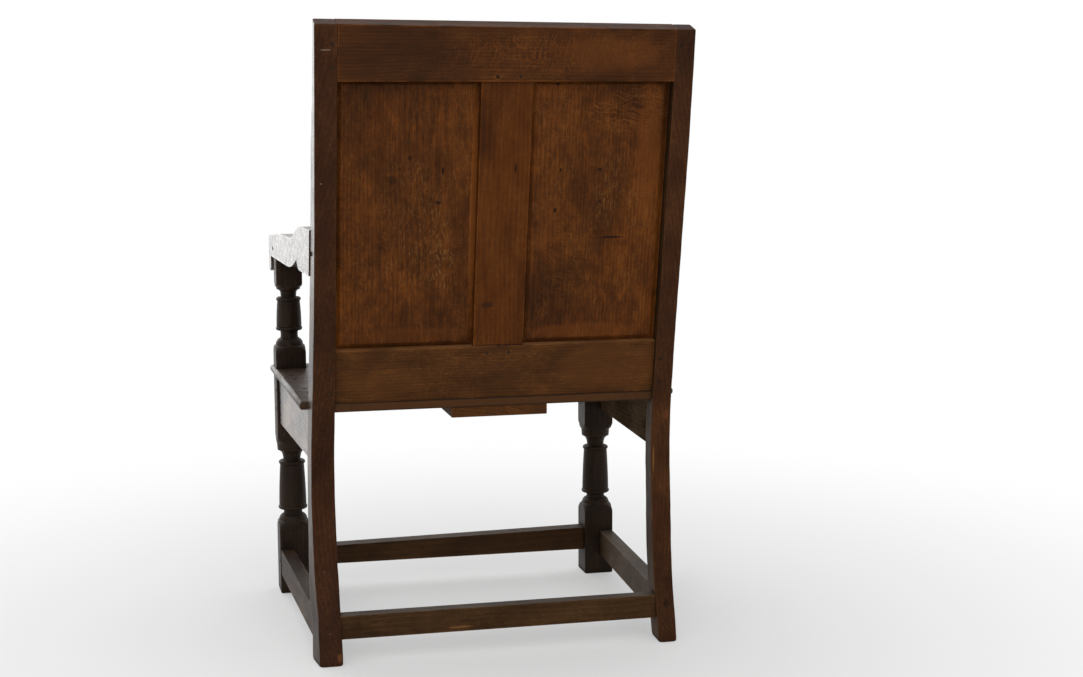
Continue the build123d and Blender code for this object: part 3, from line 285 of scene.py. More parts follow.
def rubbed_arrises(s, cloud, radius):
    """Where the surface turns within a few millimetres"""
    bevel = s.node("Bevel", samples=6)
    bevel.inputs["Radius"].default_value = radius
    facing = s.node("NewGeometry").outputs["Normal"]
    turned = s.vector("DOT_PRODUCT", bevel.outputs["Normal"], facing)
    return s.math("MULTIPLY", s.step(turned, 0.93, 0.995, 1.0, 0.0), s.step(cloud, 0.36, 0.62))


def corner_dirt(s, blotch, reach):
    """Dirt where two pieces meet, and painted shade in the corners and recesses that ambient
    occlusion finds
    """
    corner = s.node("AmbientOcclusion", samples=8)
    corner.inputs["Distance"].default_value = reach
    dirt = s.step(corner.outputs["AO"], 0.45, 0.95, 1.0, 0.0)
    return s.math("MULTIPLY", dirt, s.step(blotch, 0.25, 0.6, 0.75, 1.0))


def oak(name, turn, seed, dark, mid, light, **changes):
    """Old oak: grain, fleck, pores, patina, marks, rubbed arrises, dirt and painted corner shade,
    dust and painted highlights
    """
    look = {**PLAIN_LOOK, **changes}
    material = bpy.data.materials.new(name)
    s = Shader(material)
    surface = s.tree.nodes["Principled BSDF"].inputs
    dice = random.Random(seed)
    shift = tuple(dice.uniform(-3, 3) for _ in range(3))
    wood = s.vector("ADD", s.mapped(s.place, turn=turn), shift)
    patterns = (FIBRE, HAIR, MOTTLE, CLOUD, BLOTCH)
    fibre, hair, mottle, cloud, blotch = (s.grain(wood, *pattern) for pattern in patterns)
    ring = growth_rings(s, wood, shift, dice)
    pores = s.step(s.math("MULTIPLY_ADD", ring, -0.06, s.grain(wood, *PORES)), 0.60, 0.70)

    tone = s.added(0.5, (
        (fibre, look["fibre"]), (hair, look["hair"]), (ring, RING_SHARE),
        (mottle, look["mottle"]), (cloud, look["cloud"]), (blotch, look["blotch"]),
    ), centred=True)
    colour = s.ramp(tone, ((0.12, dark), (0.5, mid), (0.88, light)))
    colour = s.mix(ray_fleck(s, wood, look), colour, look["fleck_colour"] or light)
    colour = s.laid(colour, pores, 0.5, shaded(dark, 0.35))

    # patina rubbed through to ochre in short streaks
    if look["speckle"]:
        share = s.math("MULTIPLY", s.step(cloud, 0.38, 0.62), look["speckle"])
        share = s.zoned(share, look["worn_zones"], ragged=0.8)
        streaks = s.step(s.grain(wood, *STREAKS), 0.50, 0.66)
        colour = s.mix(s.math("MULTIPLY", streaks, share, clamp=True), colour, OCHRE)

    # stains and knocks that the photograph shows on this piece, lighter or darker, and some painted
    # highlights and painted shade
    for at, size, shade, strength in look["marks"]:
        colour = s.laid(colour, s.spot(at, size), strength, shade)

    knock = old_knocks(s, wood)
    colour = s.laid(colour, knock, KNOCK_STRENGTH, shaded(dark, 0.3))
    rub = rubbed_arrises(s, cloud, look["rub_radius"])
    colour = s.laid(colour, rub, look["rub"], shaded(light, 1.7))
    # dirt and painted shade where pieces meet and in recesses
    dirt = corner_dirt(s, blotch, look["dirt_reach"])
    colour = s.laid(colour, dirt, look["dirt"], GRIME_AND_SHADE)

    # pale dust on what looks up; on the lower rail's ledge it is a painted highlight, on the seat
    # boards a painted sheen
    if look["dust"]:
        up = s.vector("DOT_PRODUCT", s.node("NewGeometry").outputs["Normal"], (0.0, 0.0, 1.0))
        dust = s.math("MULTIPLY", s.step(up, 0.1, 0.95), s.step(cloud, 0.3, 0.65, 0.45, 1.0))
        colour = s.laid(colour, dust, look["dust"], look["dust_colour"])
    s.plug(surface["Base Color"], colour)

    rough = s.added(look["roughness"], ((blotch, 0.35), (hair, 0.2)), centred=True)
    rough = s.math("MULTIPLY_ADD", rub, -0.10, rough)
    s.plug(surface["Roughness"], s.math("MULTIPLY_ADD", dirt, 0.25, rough, clamp=True))
    gloss = look["specular"]
    if look["waxed_above"]:
        # dull near the floor, polished higher up
        height = s.node("SeparateXYZ")
        s.plug(height.inputs[0], s.place)
        gloss = s.step(height.outputs["Z"], *look["waxed_above"], FLOOR_GLOSS, gloss)
    s.plug(surface["Specular IOR Level"], gloss)
    surface["Coat Weight"].default_value = look["coat"]
    surface["Coat Roughness"].default_value = COAT_ROUGHNESS

    # tool marks left by plane and scraper, then fibres, pores and knocks
    height = s.math("MULTIPLY", s.grain(wood, *TOOL_MARKS), look["planed"])
    depths = ((fibre, 0.20), (hair, 0.08), (cloud, 0.35), (pores, -0.22), (knock, -0.8))
    height = s.added(height, depths)
    bump = s.node("Bump")
    bump.inputs["Strength"].default_value = RELIEF_STRENGTH
    bump.inputs["Distance"].default_value = RELIEF
    s.plug(bump.inputs["Height"], height)
    s.plug(surface["Normal"], bump.outputs[0])
    return material


# ---- what the photograph shows on each piece ----
# a mark is a place, its half sizes along X, Y and Z, a colour and a strength; a zone has no colour
LEFT_PANEL_MARKS = (
    (on_back(0.0997, 0.3994, 0.02), (0.0030, 0.03, 0.0080), BLACK, 0.85),
    (on_back(0.1067, 0.3457, 0.02), (0.0065, 0.03, 0.0040), BLACK, 0.75),
    (on_back(0.1554, 0.4221, 0.02), (0.0050, 0.03, 0.0050), BLACK, 0.60),
    (on_back(0.1847, 0.3853, 0.02), (0.0070, 0.03, 0.0100), BLACK, 0.55),
    # painted highlight on the lit lower chamfer
    (on_back(0.1550, 0.1130, 0.02), (0.1300, 0.06, 0.0160), GLOW, 0.20),
    # painted light on the margin beside the muntin, which lies in its shade
    (on_back(MUNTIN_EDGE + 0.0050, 0.3300, 0.02), (0.0075, 0.06, 0.4500), MARGIN_HIGHLIGHT, 0.60),
)
RIGHT_PANEL_MARKS = (
    (on_back(-0.1014, 0.3987, 0.02), (0.0025, 0.03, 0.0040), BLACK, 0.85),
    (on_back(-0.1697, 0.3989, 0.02), (0.0050, 0.03, 0.0035), BLACK, 0.80),
    (on_back(-0.1728, 0.3427, 0.02), (0.0025, 0.03, 0.0030), BLACK, 0.80),
    (on_back(-0.0947, 0.3289, 0.02), (0.0035, 0.03, 0.0055), BLACK, 0.85),
    (on_back(-0.1980, 0.2796, 0.02), (0.0240, 0.03, 0.0022), BLACK, 0.85),
    (on_back(-0.0900, 0.5448, 0.02), (0.0028, 0.03, 0.0028), BLACK, 0.95),
    # painted highlight on the lit lower chamfer
    (on_back(-0.1600, 0.1130, 0.02), (0.1300, 0.06, 0.0160), GLOW, 0.35),
    (on_back(-0.2520, 0.4300, 0.02), (0.0260, 0.06, 0.1700), GLOW, 0.40),
)
LEFT_PANEL_ZONES = (
    (on_back(0.1361, 0.300, 0.02), (0.080, 0.060, 0.120), 0.40),
    (on_back(0.0990, 0.235, 0.02), (0.025, 0.040, 0.080), 0.50),
)
RIGHT_PANEL_ZONES = (
    (on_back(-0.1850, 0.365, 0.02), (0.030, 0.040, 0.070), 0.35),
    (on_back(-0.2450, 0.330, 0.02), (0.030, 0.040, 0.090), 0.40),
)
RIGHT_PANEL_FIGURE = ((on_back(-0.2150, 0.500, 0.02), (0.090, 0.060, 0.048), 0.60),)
TOP_RAIL_MARKS = (
    (on_back(0.1900, 0.600, 0.0), (0.150, 0.060, 0.075), (0.022, 0.0095, 0.0045), 0.55),
    (on_back(-0.1750, 0.600, 0.0), (0.110, 0.060, 0.035), (0.115, 0.0360, 0.0080), 0.50),
    (on_back(-0.2500, 0.655, 0.0), (0.060, 0.060, 0.012), (0.170, 0.0520, 0.0110), 0.40),
)
TOP_RAIL_FIGURE = ((on_back(-0.0700, 0.600, 0.0), (0.220, 0.060, 0.040), 0.55),)
LOWER_RAIL_MARKS = (
    (on_back(-0.1900, 0.050, 0.012), (0.1100, 0.06, 0.0500), (0.130, 0.0450, 0.0110), 0.35),
    (on_back(0.2000, 0.030, 0.012), (0.0900, 0.06, 0.0300), (0.110, 0.0400, 0.0100), 0.30),
)
MUNTIN_MARKS = (
    (on_back(-0.0219, 0.4050, 0.012), (0.0025, 0.03, 0.0110), BLACK, 0.75),
    (on_back(0.0189, 0.1661, 0.012), (0.0140, 0.03, 0.0060), (0.018, 0.010, 0.006), 0.6),
    (on_back(-0.0030, 0.0922, 0.012), (0.0700, 0.03, 0.0030), BLACK, 0.85),
    (on_back(-0.0030, 0.5525, 0.012), (0.0700, 0.03, 0.0022), BLACK, 0.70),
)
REAR_EDGE_MARKS = (
    (Vector((0.0, 0.2020, 0.4350)), (0.4000, 0.024, 0.0300), (0.080, 0.0300, 0.0080), 0.75),
    (Vector((0.0, 0.1977, 0.4450)), (0.4500, 0.024, 0.0016), BLACK, 0.85),
    # painted shade along the lower part of the rear edge
    (Vector((0.0, 0.1977, 0.4308)), (0.4500, 0.024, 0.0030), (0.020, 0.0120, 0.0060), 0.60),
)
REAR_STRETCHER_MARKS = (
    (Vector((0.0700, 0.2232, 0.0472)), (0.0260, 0.03, 0.0028), (0.190, 0.085, 0.028), 0.75),
)
RIGHT_POST_MARKS = (
    (Vector((-0.2899, 0.1920, 0.3220)), (0.0018, 0.03, 0.0300), (0.200, 0.095, 0.030), 0.70),
    (Vector((-0.3104, 0.1998, 0.4029)), (0.0060, 0.03, 0.0120), (0.130, 0.0380, 0.0140), 0.60),
    (Vector((-0.2731, 0.2192, 0.0953)), (0.0030, 0.03, 0.0030), (0.300, 0.240, 0.180), 0.80),
    (Vector((-0.3030, 0.2291, 0.0642)), (0.0060, 0.03, 0.0100), BLACK, 0.50),
)
LEFT_POST_MARKS = (
    (on_back(0.2980, 0.6037, 0.0), (0.0105, 0.03, 0.0011), (0.22, 0.16, 0.12), 0.8),
    (on_back(0.3042, 0.3852, 0.0), (0.0016, 0.03, 0.0016), (0.22, 0.18, 0.15), 0.7),
    (Vector((0.2830, 0.2456, 0.0142)), (0.0050, 0.03, 0.0090), (0.160, 0.060, 0.018), 0.60),
    (Vector((0.2746, 0.2277, 0.0683)), (0.0030, 0.03, 0.0110), (0.180, 0.075, 0.022), 0.65),
    (Vector((0.3027, 0.2045, 0.1555)), (0.0015, 0.03, 0.0015), SPECK, 0.55),
    (Vector((0.2977, 0.2326, 0.0537)), (0.0015, 0.03, 0.0015), SPECK, 0.55),
)

BACK_LOOK = dict(specular=0.05, roughness=0.5, dirt=0.35, dirt_reach=0.008)
TURNED_LOOK = dict(dust=0.05, roughness=0.45)
BRIGHT_LOOK = dict(
    specular=0.5, roughness=0.30, coat=0.3, dirt=0.5, rub=0.3,
    mottle=1.1, cloud=1.5, blotch=0.9, hair=0.4,
)
# the thin grey dust on the boards' tops is a painted sheen
BOARD_LOOK = dict(planed=3.2, dust=0.05, rub=0.15)
ARM_LOOK = dict(specular=0.38, roughness=0.30, coat=0.15)
PANEL_LOOK = dict(
    mottle=0.95, cloud=0.40, blotch=0.85, fibre=0.30, hair=0.6, fleck=0.3, speckle=0.35,
    specular=0.05, dirt=0.0, dirt_reach=0.008,
)
MATERIALS = {
    "rear_post_left": oak(
        "oak_rear_post_left", UPRIGHT, 11, *POST, marks=LEFT_POST_MARKS, speckle=0.25, **BACK_LOOK,
    ),
    "rear_post_right": oak(
        "oak_rear_post_right", UPRIGHT, 12, *RIGHT_POST, marks=RIGHT_POST_MARKS, speckle=0.25,
        **BACK_LOOK,
    ),
    "front_post_left": oak(
        "oak_front_post_left_shaded", UPRIGHT, 13, *SHADED_TURNED, specular=0.12, **TURNED_LOOK,
    ),
    "front_post_right": oak(
        "oak_front_post_right_shaded", UPRIGHT, 14, *SHADED_TURNED, specular=0.10, **TURNED_LOOK,
    ),
    "top_back_rail": oak(
        "oak_top_rail", ALONG_X, 15, *RAIL, marks=TOP_RAIL_MARKS, figured_zones=TOP_RAIL_FIGURE,
        speckle=0.3, **BACK_LOOK,
    ),
    "lower_back_rail": oak(
        "oak_lower_rail", ALONG_X, 16, *LOWER_RAIL, marks=LOWER_RAIL_MARKS, speckle=0.4,
        dust=0.9, dust_colour=LEDGE_HIGHLIGHT, **BACK_LOOK,
    ),
    "back_muntin": oak(
        "oak_muntin", ALONG_BACK, 17, *MUNTIN, marks=MUNTIN_MARKS, speckle=0.3, **BACK_LOOK,
    ),
    "back_panel_left": oak(
        "oak_panel_left", ALONG_BACK, 18, *PANEL, marks=LEFT_PANEL_MARKS,
        worn_zones=LEFT_PANEL_ZONES, **PANEL_LOOK,
    ),
    "back_panel_right": oak(
        "oak_panel_right", ALONG_BACK, 19, *PANEL, marks=RIGHT_PANEL_MARKS,
        worn_zones=RIGHT_PANEL_ZONES, figured_zones=RIGHT_PANEL_FIGURE, figure_turn=(0, 0.20, 0),
        fleck_colour=FIGURE, **PANEL_LOOK,
    ),
    "front_seat_rail": oak("oak_front_rail", ALONG_X, 20, *RAIL, **BACK_LOOK),
    # the left rail's paler oak is partly painted light
    "side_seat_rail_left": oak("oak_side_rail_left_lit", ALONG_Y, 21, *LIT_SIDE_RAIL, **BRIGHT_LOOK),
    "side_seat_rail_right": oak(
        "oak_side_rail_right", ALONG_Y, 22, *INNER_SIDE, specular=0.0,
        mottle=1.0, cloud=0.9, speckle=0.3,
    ),
    "front_stretcher": oak("oak_front_stretcher", ALONG_X, 23, *LOW, dust=0.3, **BACK_LOOK),
    "rear_stretcher": oak(
        "oak_rear_stretcher", ALONG_X, 24, *REAR_LOW, marks=REAR_STRETCHER_MARKS,
        dust=0.4, speckle=0.3, **BACK_LOOK,
    ),
    "side_stretcher_left": oak(
        "oak_side_stretcher_left", ALONG_Y, 25, *STRETCHER_SIDE, specular=0.10, roughness=0.5,
        mottle=0.9, cloud=0.9, speckle=0.4,
    ),
    "side_stretcher_right": oak(
        "oak_side_stretcher_right", ALONG_Y, 26, *INNER_SIDE, dust=0.3, **BACK_LOOK,
    ),
    "seat_board_front": oak(
        "oak_seat_front", ALONG_X, 27, *SEAT, specular=0.22, roughness=0.38, **BOARD_LOOK,
    ),
    "seat_board_middle": oak(
        "oak_seat_middle", ALONG_X, 28, *SEAT, specular=0.22, roughness=0.38, **BOARD_LOOK,
    ),
    "seat_board_rear": oak(
        "oak_seat_rear", ALONG_X, 29, *REAR_BOARD, marks=REAR_EDGE_MARKS, specular=0.07,
        roughness=0.40, dirt=0.9, dirt_reach=0.0035, **BOARD_LOOK,
    ),
    "seat_batten": oak("oak_batten", ALONG_Y, 30, *LOWER_RAIL, **BACK_LOOK),
    "arm_left": oak("oak_arm_left", ALONG_Y, 31, *ARM, **ARM_LOOK),
    "arm_right": oak("oak_arm_right", ALONG_Y, 32, *ARM, **ARM_LOOK),
}
PEG_MATERIAL = oak(
    "oak_pegs", ALONG_BACK, 40, *PEG, rub=0.2, rub_radius=0.0015, dirt=0.3,
    specular=0.02, roughness=0.6,
)
# the rear posts' outer faces: oak and partly painted light
LIT_POST_SIDE_MATERIAL = oak(
    "oak_post_sides_lit", UPRIGHT, 41, *LIT_SIDE, specular=0.38, waxed_above=(0.12, 0.50), roughness=0.32,
    dirt=0.4, mottle=0.9, cloud=0.9,
)
POST_INNER_MATERIAL = oak("oak_post_inner_sides", UPRIGHT, 42, *LOW, specular=0.05, roughness=0.5)

# ---- worn arrises on the CAD pieces ----
ARRIS = {
    "arm": 0.0035,
    "rear_post": 0.0022,
    "seat_board": 0.0012,
    "side_stretcher": 0.0028,
    "back_panel": 0.0008,
}
DEFAULT_ARRIS = 0.0018
PEG_ARRIS = 0.0007
WELD_GAP = 0.00001
FLAT_ANGLE = math.radians(0.5)
ARRIS_ANGLE = math.radians(32)


def soften(node, width):
    """Rounds the arrises of a CAD piece with modifiers and leaves its mesh alone"""
    weld = node.modifiers.new("weld", "WELD")
    weld.merge_threshold = WELD_GAP
    flat = node.modifiers.new("flat", "DECIMATE")
    flat.decimate_type = "DISSOLVE"
    flat.angle_limit = FLAT_ANGLE
    edge = node.modifiers.new("arris", "BEVEL")
    edge.width = width
    edge.segments = 3
    edge.limit_method = "ANGLE"
    edge.angle_limit = ARRIS_ANGLE
    edge.use_clamp_overlap = True


for name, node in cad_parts.items():
    is_peg = name.endswith("_pegs")
    node.data.materials.clear()
    node.data.materials.append(PEG_MATERIAL if is_peg else MATERIALS[name])
    width = next((size for start, size in ARRIS.items() if name.startswith(start)), DEFAULT_ARRIS)
    soften(node, PEG_ARRIS if is_peg else width)


# ---- pieces made here in place of CAD nodes ----
SIDES = (("left", 1), ("right", -1))
SHARP_ANGLE = math.radians(38)


def skin(name, rows):
    """A closed piece through rows of points, smooth except at its sharp edges"""
    made = bmesh.new()
    rings = [[made.verts.new(point) for point in row] for row in rows]
    count = len(rings[0])
    for low, high in zip(rings, rings[1:]):
        for i in range(count):
            j = (i + 1) % count
            made.faces.new((low[i], low[j], high[j], high[i]))
    made.faces.new(rings[0])
    made.faces.new(rings[-1])
    bmesh.ops.recalc_face_normals(made, faces=made.faces)
    for face in made.faces:
        face.smooth = True
    for edge in made.edges:
        edge.smooth = edge.calc_face_angle(0.0) <= SHARP_ANGLE
    mesh = bpy.data.meshes.new(name)
    made.to_mesh(mesh)
    made.free()
    piece = bpy.data.objects.new(name, mesh)
    bpy.context.scene.collection.objects.link(piece)
    return piece


def stand_in(post, node, *materials):
    for material in materials:
        post.data.materials.append(material)
    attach(post, "root")
    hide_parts(node)


# ---- front posts: turned and squared in one smooth skin ----
RING = 0.008                        # height of a ring, and twice its bulge
QUIRK = 0.001
LIP = 0.0003
RING_LIP = 0.0004
NECK_FLARE = 0.0002
SHOULDER_BULGE = 0.003
BASE_BULGE = 0.0024
NECK_HOLLOW = -0.0008
COLUMN_BULGE = 0.0006


def arc_row(start, end, bulge, rows):
    """Points after start along an arc to end that stands out from the chord by the bulge"""
    (r0, z0), (r1, z1) = start, end
    length = math.hypot(r1 - r0, z1 - z0)
    ux, uz = (r1 - r0) / length, (z1 - z0) / length
    out = (uz, -ux)
    half = length / 2
    radius = (half * half + bulge * bulge) / (2 * abs(bulge))
    swing = 2 * math.atan(abs(bulge) / half)
    points = []
    for i in range(1, rows + 1):
        a = swing * (2 * i / rows - 1)
        along = half + radius * math.sin(a)
        side = (abs(bulge) - radius * (1 - math.cos(a))) * (1 if bulge > 0 else -1)
        points.append((r0 + ux * along + out[0] * side, z0 + uz * along + out[1] * side))
    return points


def turned_profile(t, bottom, top, low_corner, high_corner):
    """Radii and heights from one square block up to the next: base, ring, column, ring and bell"""
    base = bottom + t["low_shoulder"]
    neck = base + t["base_height"]
    ring_low = neck + t["low_neck"]
    column = ring_low + RING
    cap = top - t["high_shoulder"]
    bell = cap - t["cap_height"]
    high_neck = bell - t["bell_height"]
    high_ring = high_neck - t["high_neck"]
    column_top = high_ring - RING
    low_ring_edge = t["low_ring_radius"] - RING / 2
    high_ring_edge = t["high_ring_radius"] - RING / 2
    points = [(low_corner, bottom)]

    def curve(radius, height, bulge, rows):
        points.extend(arc_row(points[-1], (radius, height), bulge, rows))

    curve(t["shoulder_radius"], base, SHOULDER_BULGE, 8)
    points.append((t["shoulder_radius"] - QUIRK, base + LIP))
    curve(t["low_neck_radius"], neck, BASE_BULGE, 8)
    curve(t["low_neck_radius"] + NECK_FLARE, ring_low, NECK_HOLLOW, 5)
    points.append((low_ring_edge, ring_low + LIP))
    curve(low_ring_edge, column, RING / 2, 10)
    points.append((t["column_bottom_radius"], column + RING_LIP))
    curve(t["column_top_radius"], column_top, COLUMN_BULGE, 10)
    points.append((high_ring_edge, column_top + RING_LIP))
    curve(high_ring_edge, high_ring, RING / 2, 10)
    points.append((t["high_neck_radius"] + NECK_FLARE, high_ring + LIP))
    curve(t["high_neck_radius"], high_neck, NECK_HOLLOW, 5)
    curve(t["bell_radius"], bell, -BASE_BULGE, 8)
    points.append((t["bell_radius"] + QUIRK, bell + LIP))
    points.append((t["bell_radius"] + 2 * QUIRK, cap))
    curve(high_corner, top, SHOULDER_BULGE, 8)
    return points


LOWER = dict(
    low_shoulder=0.025, shoulder_radius=0.0285, base_height=0.012,
    low_neck=0.009, low_neck_radius=0.0185, low_ring_radius=0.0283,
    column_bottom_radius=0.0266, column_top_radius=0.0233, high_ring_radius=0.0258,
    high_neck=0.008, high_neck_radius=0.0175, bell_height=0.013, bell_radius=0.0265,
    cap_height=0.013, high_shoulder=0.025,
)
UPPER = dict(
    low_shoulder=0.019, shoulder_radius=0.0275, base_height=0.014,
    low_neck=0.014, low_neck_radius=0.0173, low_ring_radius=0.0256,
    column_bottom_radius=0.0242, column_top_radius=0.0219, high_ring_radius=0.0240,
    high_neck=0.006, high_neck_radius=0.0155, bell_height=0.009, bell_radius=0.0215,
    cap_height=0.005, high_shoulder=0.014,
)
LOWER_SPAN = (0.118, 0.320)         # from one square block up to the next
UPPER_SPAN = (0.470, 0.616)
BLOCK_HALF = 0.029
ARM_BLOCK_HALF = 0.025
WAIST = 0.543                       # where the square under the arm takes over from the larger one
SQUARE = 1.0                        # a radius that cuts nothing off the square
CORNER_SPARE = 0.001
CORNER_ROUND = 0.0022
# heights of the foot's rows and how far in each one lies
FOOT_EDGE = ((0.0, 0.0025), (0.0008, 0.0008), (0.003, 0.0), (0.060, 0.0), (0.110, 0.0))
SEAT_BLOCK_ROWS = (0.325, 0.360, 0.400, 0.430, 0.465)
ARM_BLOCK_ROWS = (0.620, 0.640, 0.660)
# shares of a quarter turn, closer together at the square's corners
QUARTER = (0.0, 0.12, 0.24, 0.35, 0.44, 0.475, 0.49, 0.50, 0.51, 0.525, 0.56, 0.65, 0.76, 0.88)


def post_rows():
    """Turned radius, half width of the square and height of each row, from the floor up"""
    block_corner = BLOCK_HALF * math.sqrt(2) + CORNER_SPARE
    arm_corner = ARM_BLOCK_HALF * math.sqrt(2) + CORNER_SPARE
    rows = [(SQUARE, BLOCK_HALF - worn, z) for z, worn in FOOT_EDGE]
    lower = turned_profile(LOWER, *LOWER_SPAN, block_corner, block_corner)
    rows += [(r, BLOCK_HALF, z) for r, z in lower]
    rows += [(SQUARE, BLOCK_HALF, z) for z in SEAT_BLOCK_ROWS]
    for r, z in turned_profile(UPPER, *UPPER_SPAN, block_corner, arm_corner):
        rows.append((r, BLOCK_HALF if z < WAIST else ARM_BLOCK_HALF, z))
    rows += [(SQUARE, ARM_BLOCK_HALF, z) for z in ARM_BLOCK_ROWS]
    return rows


def squircle(half, turned, angle):
    """Distance out to the surface at an angle: a square with eased corners, cut by the turning"""
    c, k = abs(math.cos(angle)), abs(math.sin(angle))
    flat = half / max(c, k)
    inner = half - CORNER_ROUND
    if min(c, k) * flat > inner:
        # ray against the corner's quarter circle about (inner, inner)
        b = inner * (c + k)
        flat = b + math.sqrt(max(b * b - (2 * inner * inner - CORNER_ROUND**2), 0.0))
    return min(flat, turned)


def front_post(name, side):
    angles = [math.radians(90 * (quarter + share)) for quarter in range(4) for share in QUARTER]
    rows = []
    for turned, half, z in post_rows():
        reaches = [(squircle(half, turned, angle), angle) for angle in angles]
        rows.append([(out * math.cos(angle), out * math.sin(angle), z) for out, angle in reaches])
    post = skin(name, rows)
    post.data.transform(Matrix.Translation((side * FRONT_POST_X, FRONT_POST_Y, 0)))
    return post


for word, side in SIDES:
    node = "front_post_" + word
    stand_in(front_post("turned_" + node, side), node, MATERIALS[node])


# ---- rear posts: sawn by hand, bowed and worn ----
# height in metres, then in millimetres how far the outer face and the inner face stand outside
# their straight lines, and how far the outer face's front arris stands outside its rear one
WANDER = {
    1: (
        (0.000, -0.5, -1.4, 7.0), (0.045, -1.0, -1.4, 5.6), (0.080, -2.0, -1.2, 7.4),
        (0.110, -0.3, -1.0, 7.2), (0.145, 1.1, -0.9, 5.2), (0.160, 1.3, 0.0, 4.6),
        (0.210, 1.7, 0.0, 3.2), (0.280, 2.4, 1.0, 2.0), (0.350, 1.8, 1.2, 2.4),
        (0.420, 0.2, 0.2, 2.8), (0.490, -1.3, 0.0, 3.2), (0.600, -2.6, 0.0, 3.4),
        (0.740, -3.0, 0.0, 2.6), (0.880, -2.5, 0.0, 1.8), (0.925, -2.3, 0.0, 0.8),
        (0.960, -2.1, 0.0, -0.5), (1.020, -1.7, 0.0, -0.8), (1.100, -1.2, 0.0, -1.6),
    ),
    -1: (
        (0.000, -0.3, 0.0, 5.3), (0.080, 0.7, 0.6, 4.2), (0.160, 2.6, 1.0, 2.8),
        (0.200, 4.0, 1.8, 2.2), (0.240, 4.5, 2.5, 1.6), (0.280, 4.0, 2.0, 1.6),
        (0.320, 2.9, 0.8, 1.6), (0.360, 1.9, 0.2, 1.6), (0.440, 0.5, 0.0, 1.6),
        (0.540, -0.2, 0.0, 1.6), (0.720, 0.4, 0.0, 1.6), (0.880, 0.9, 0.0, 1.6),
        (0.970, 0.2, 0.0, 1.6), (1.100, -1.1, 0.0, 1.6),
    ),
}
ROW_STEP = 0.012
POST_TOP_ROWS = 0.030               # the last level row ends this far under the sloping top
# how far in each row lies: heights over the floor, then shares of the way up to the sloping top
FOOT_EASE = ((0.0, 0.0035), (0.001, 0.0015), (0.003, 0.0004), (0.006, 0.0))
TOP_EASE = ((0.25, 0.0), (0.5, 0.0), (0.75, 0.0), (0.93, 0.0), (0.985, 0.0005), (1.0, 0.0022))
TOP_NOISE = 0.02                    # height over which the top rows' wear changes
ARRIS_ROUND = 0.0016
ARRIS_WEAR = 0.0026
WEAR_WAVES = 34                     # per metre of height
CHIP_WAVES = 95
CHIP_DEPTH = 0.003
FOOT_WEAR = 0.005
FOOT_WEAR_HEIGHT = 0.008
FACE_WAVES = 22
FACE_WAVE_DEPTH = 0.0003
ROUND_SHARES = (0.0, 0.22, 0.5, 0.78, 1.0)
FACE_SHARES = (0.3, 0.5, 0.7)
SIDE_FACING = 0.8


def wander(side, z):
    """Departures of a rear post from its straight lines at height z, in metres"""
    stations = WANDER[side]
    for low, high in zip(stations, stations[1:]):
        if z <= high[0]:
            break
    share = min(max((z - low[0]) / (high[0] - low[0]), 0.0), 1.0)
    share = share * share * (3 - 2 * share)
    return [0.001 * (a + (b - a) * share) for a, b in zip(low[1:], high[1:])]


def hollow_y(z, bend_y, bend_z, lower, radius):
    """A face's Y at height z: raked above, leaning back by lower below, and an arc between"""
    run = radius * math.tan((RAKE + lower) / 2)
    start_z = bend_z + run * math.cos(RAKE)
    if z >= start_z:
        return bend_y + (z - bend_z) * math.tan(RAKE)
    if z <= bend_z - run * math.cos(lower):
        return bend_y + (bend_z - z) * math.tan(lower)
    centre_y = bend_y + run * math.sin(RAKE) + radius * math.cos(RAKE)
    centre_z = start_z - radius * math.sin(RAKE)
    return centre_y - math.sqrt(radius**2 - (z - centre_z) ** 2)


BEND_Y = BACK_ORIGIN.y - (SEAT_HEIGHT - BEND_HEIGHT) * math.tan(RAKE)
FRONT_REACH = REAR_POST_DEPTH / math.cos((RAKE + FOOT_SPLAY) / 2)
FRONT_BEND_Y = BEND_Y - FRONT_REACH * math.cos((RAKE - FOOT_SPLAY) / 2)
FRONT_BEND_Z = BEND_HEIGHT + FRONT_REACH * math.sin((RAKE - FOOT_SPLAY) / 2)
FOOT_FRONT_Y = BEND_Y + BEND_HEIGHT * math.tan(FOOT_SPLAY) - FOOT_DEPTH
FRONT_SPLAY = math.atan((FOOT_FRONT_Y - FRONT_BEND_Y) / FRONT_BEND_Z)


def post_corners(side, z):
    """The four arrises at height z: rear outer, rear inner, front inner, front outer"""
    outer_shift, inner_shift, flare = wander(side, z)
    rear = hollow_y(z, BEND_Y, BEND_HEIGHT, FOOT_SPLAY, BEND_RADIUS)
    front = hollow_y(z, FRONT_BEND_Y, FRONT_BEND_Z, FRONT_SPLAY, BEND_RADIUS + REAR_POST_DEPTH)
    outer = BACK_HALF + outer_shift
    inner = BACK_HALF - REAR_POST_WIDTH[side] + inner_shift
    turned_in = (rear - front) * SIDE_TAPER
    places = ((outer, rear), (inner, rear), (inner + turned_in, front), (outer + flare, front))
    return [Vector((side * x, y, z)) for x, y in places]


def top_height(x, share):
    """Height of the sloping top, at a share of the way from the rear face to the front"""
    fall = (x - BACK_HALF) * TOP_FALL / (2 * BACK_HALF)
    pitch = math.tan(TOP_PITCH)
    return BACK_TOP_Z + (fall + share * POST_RUN * pitch) / (1 + math.tan(RAKE) * pitch)


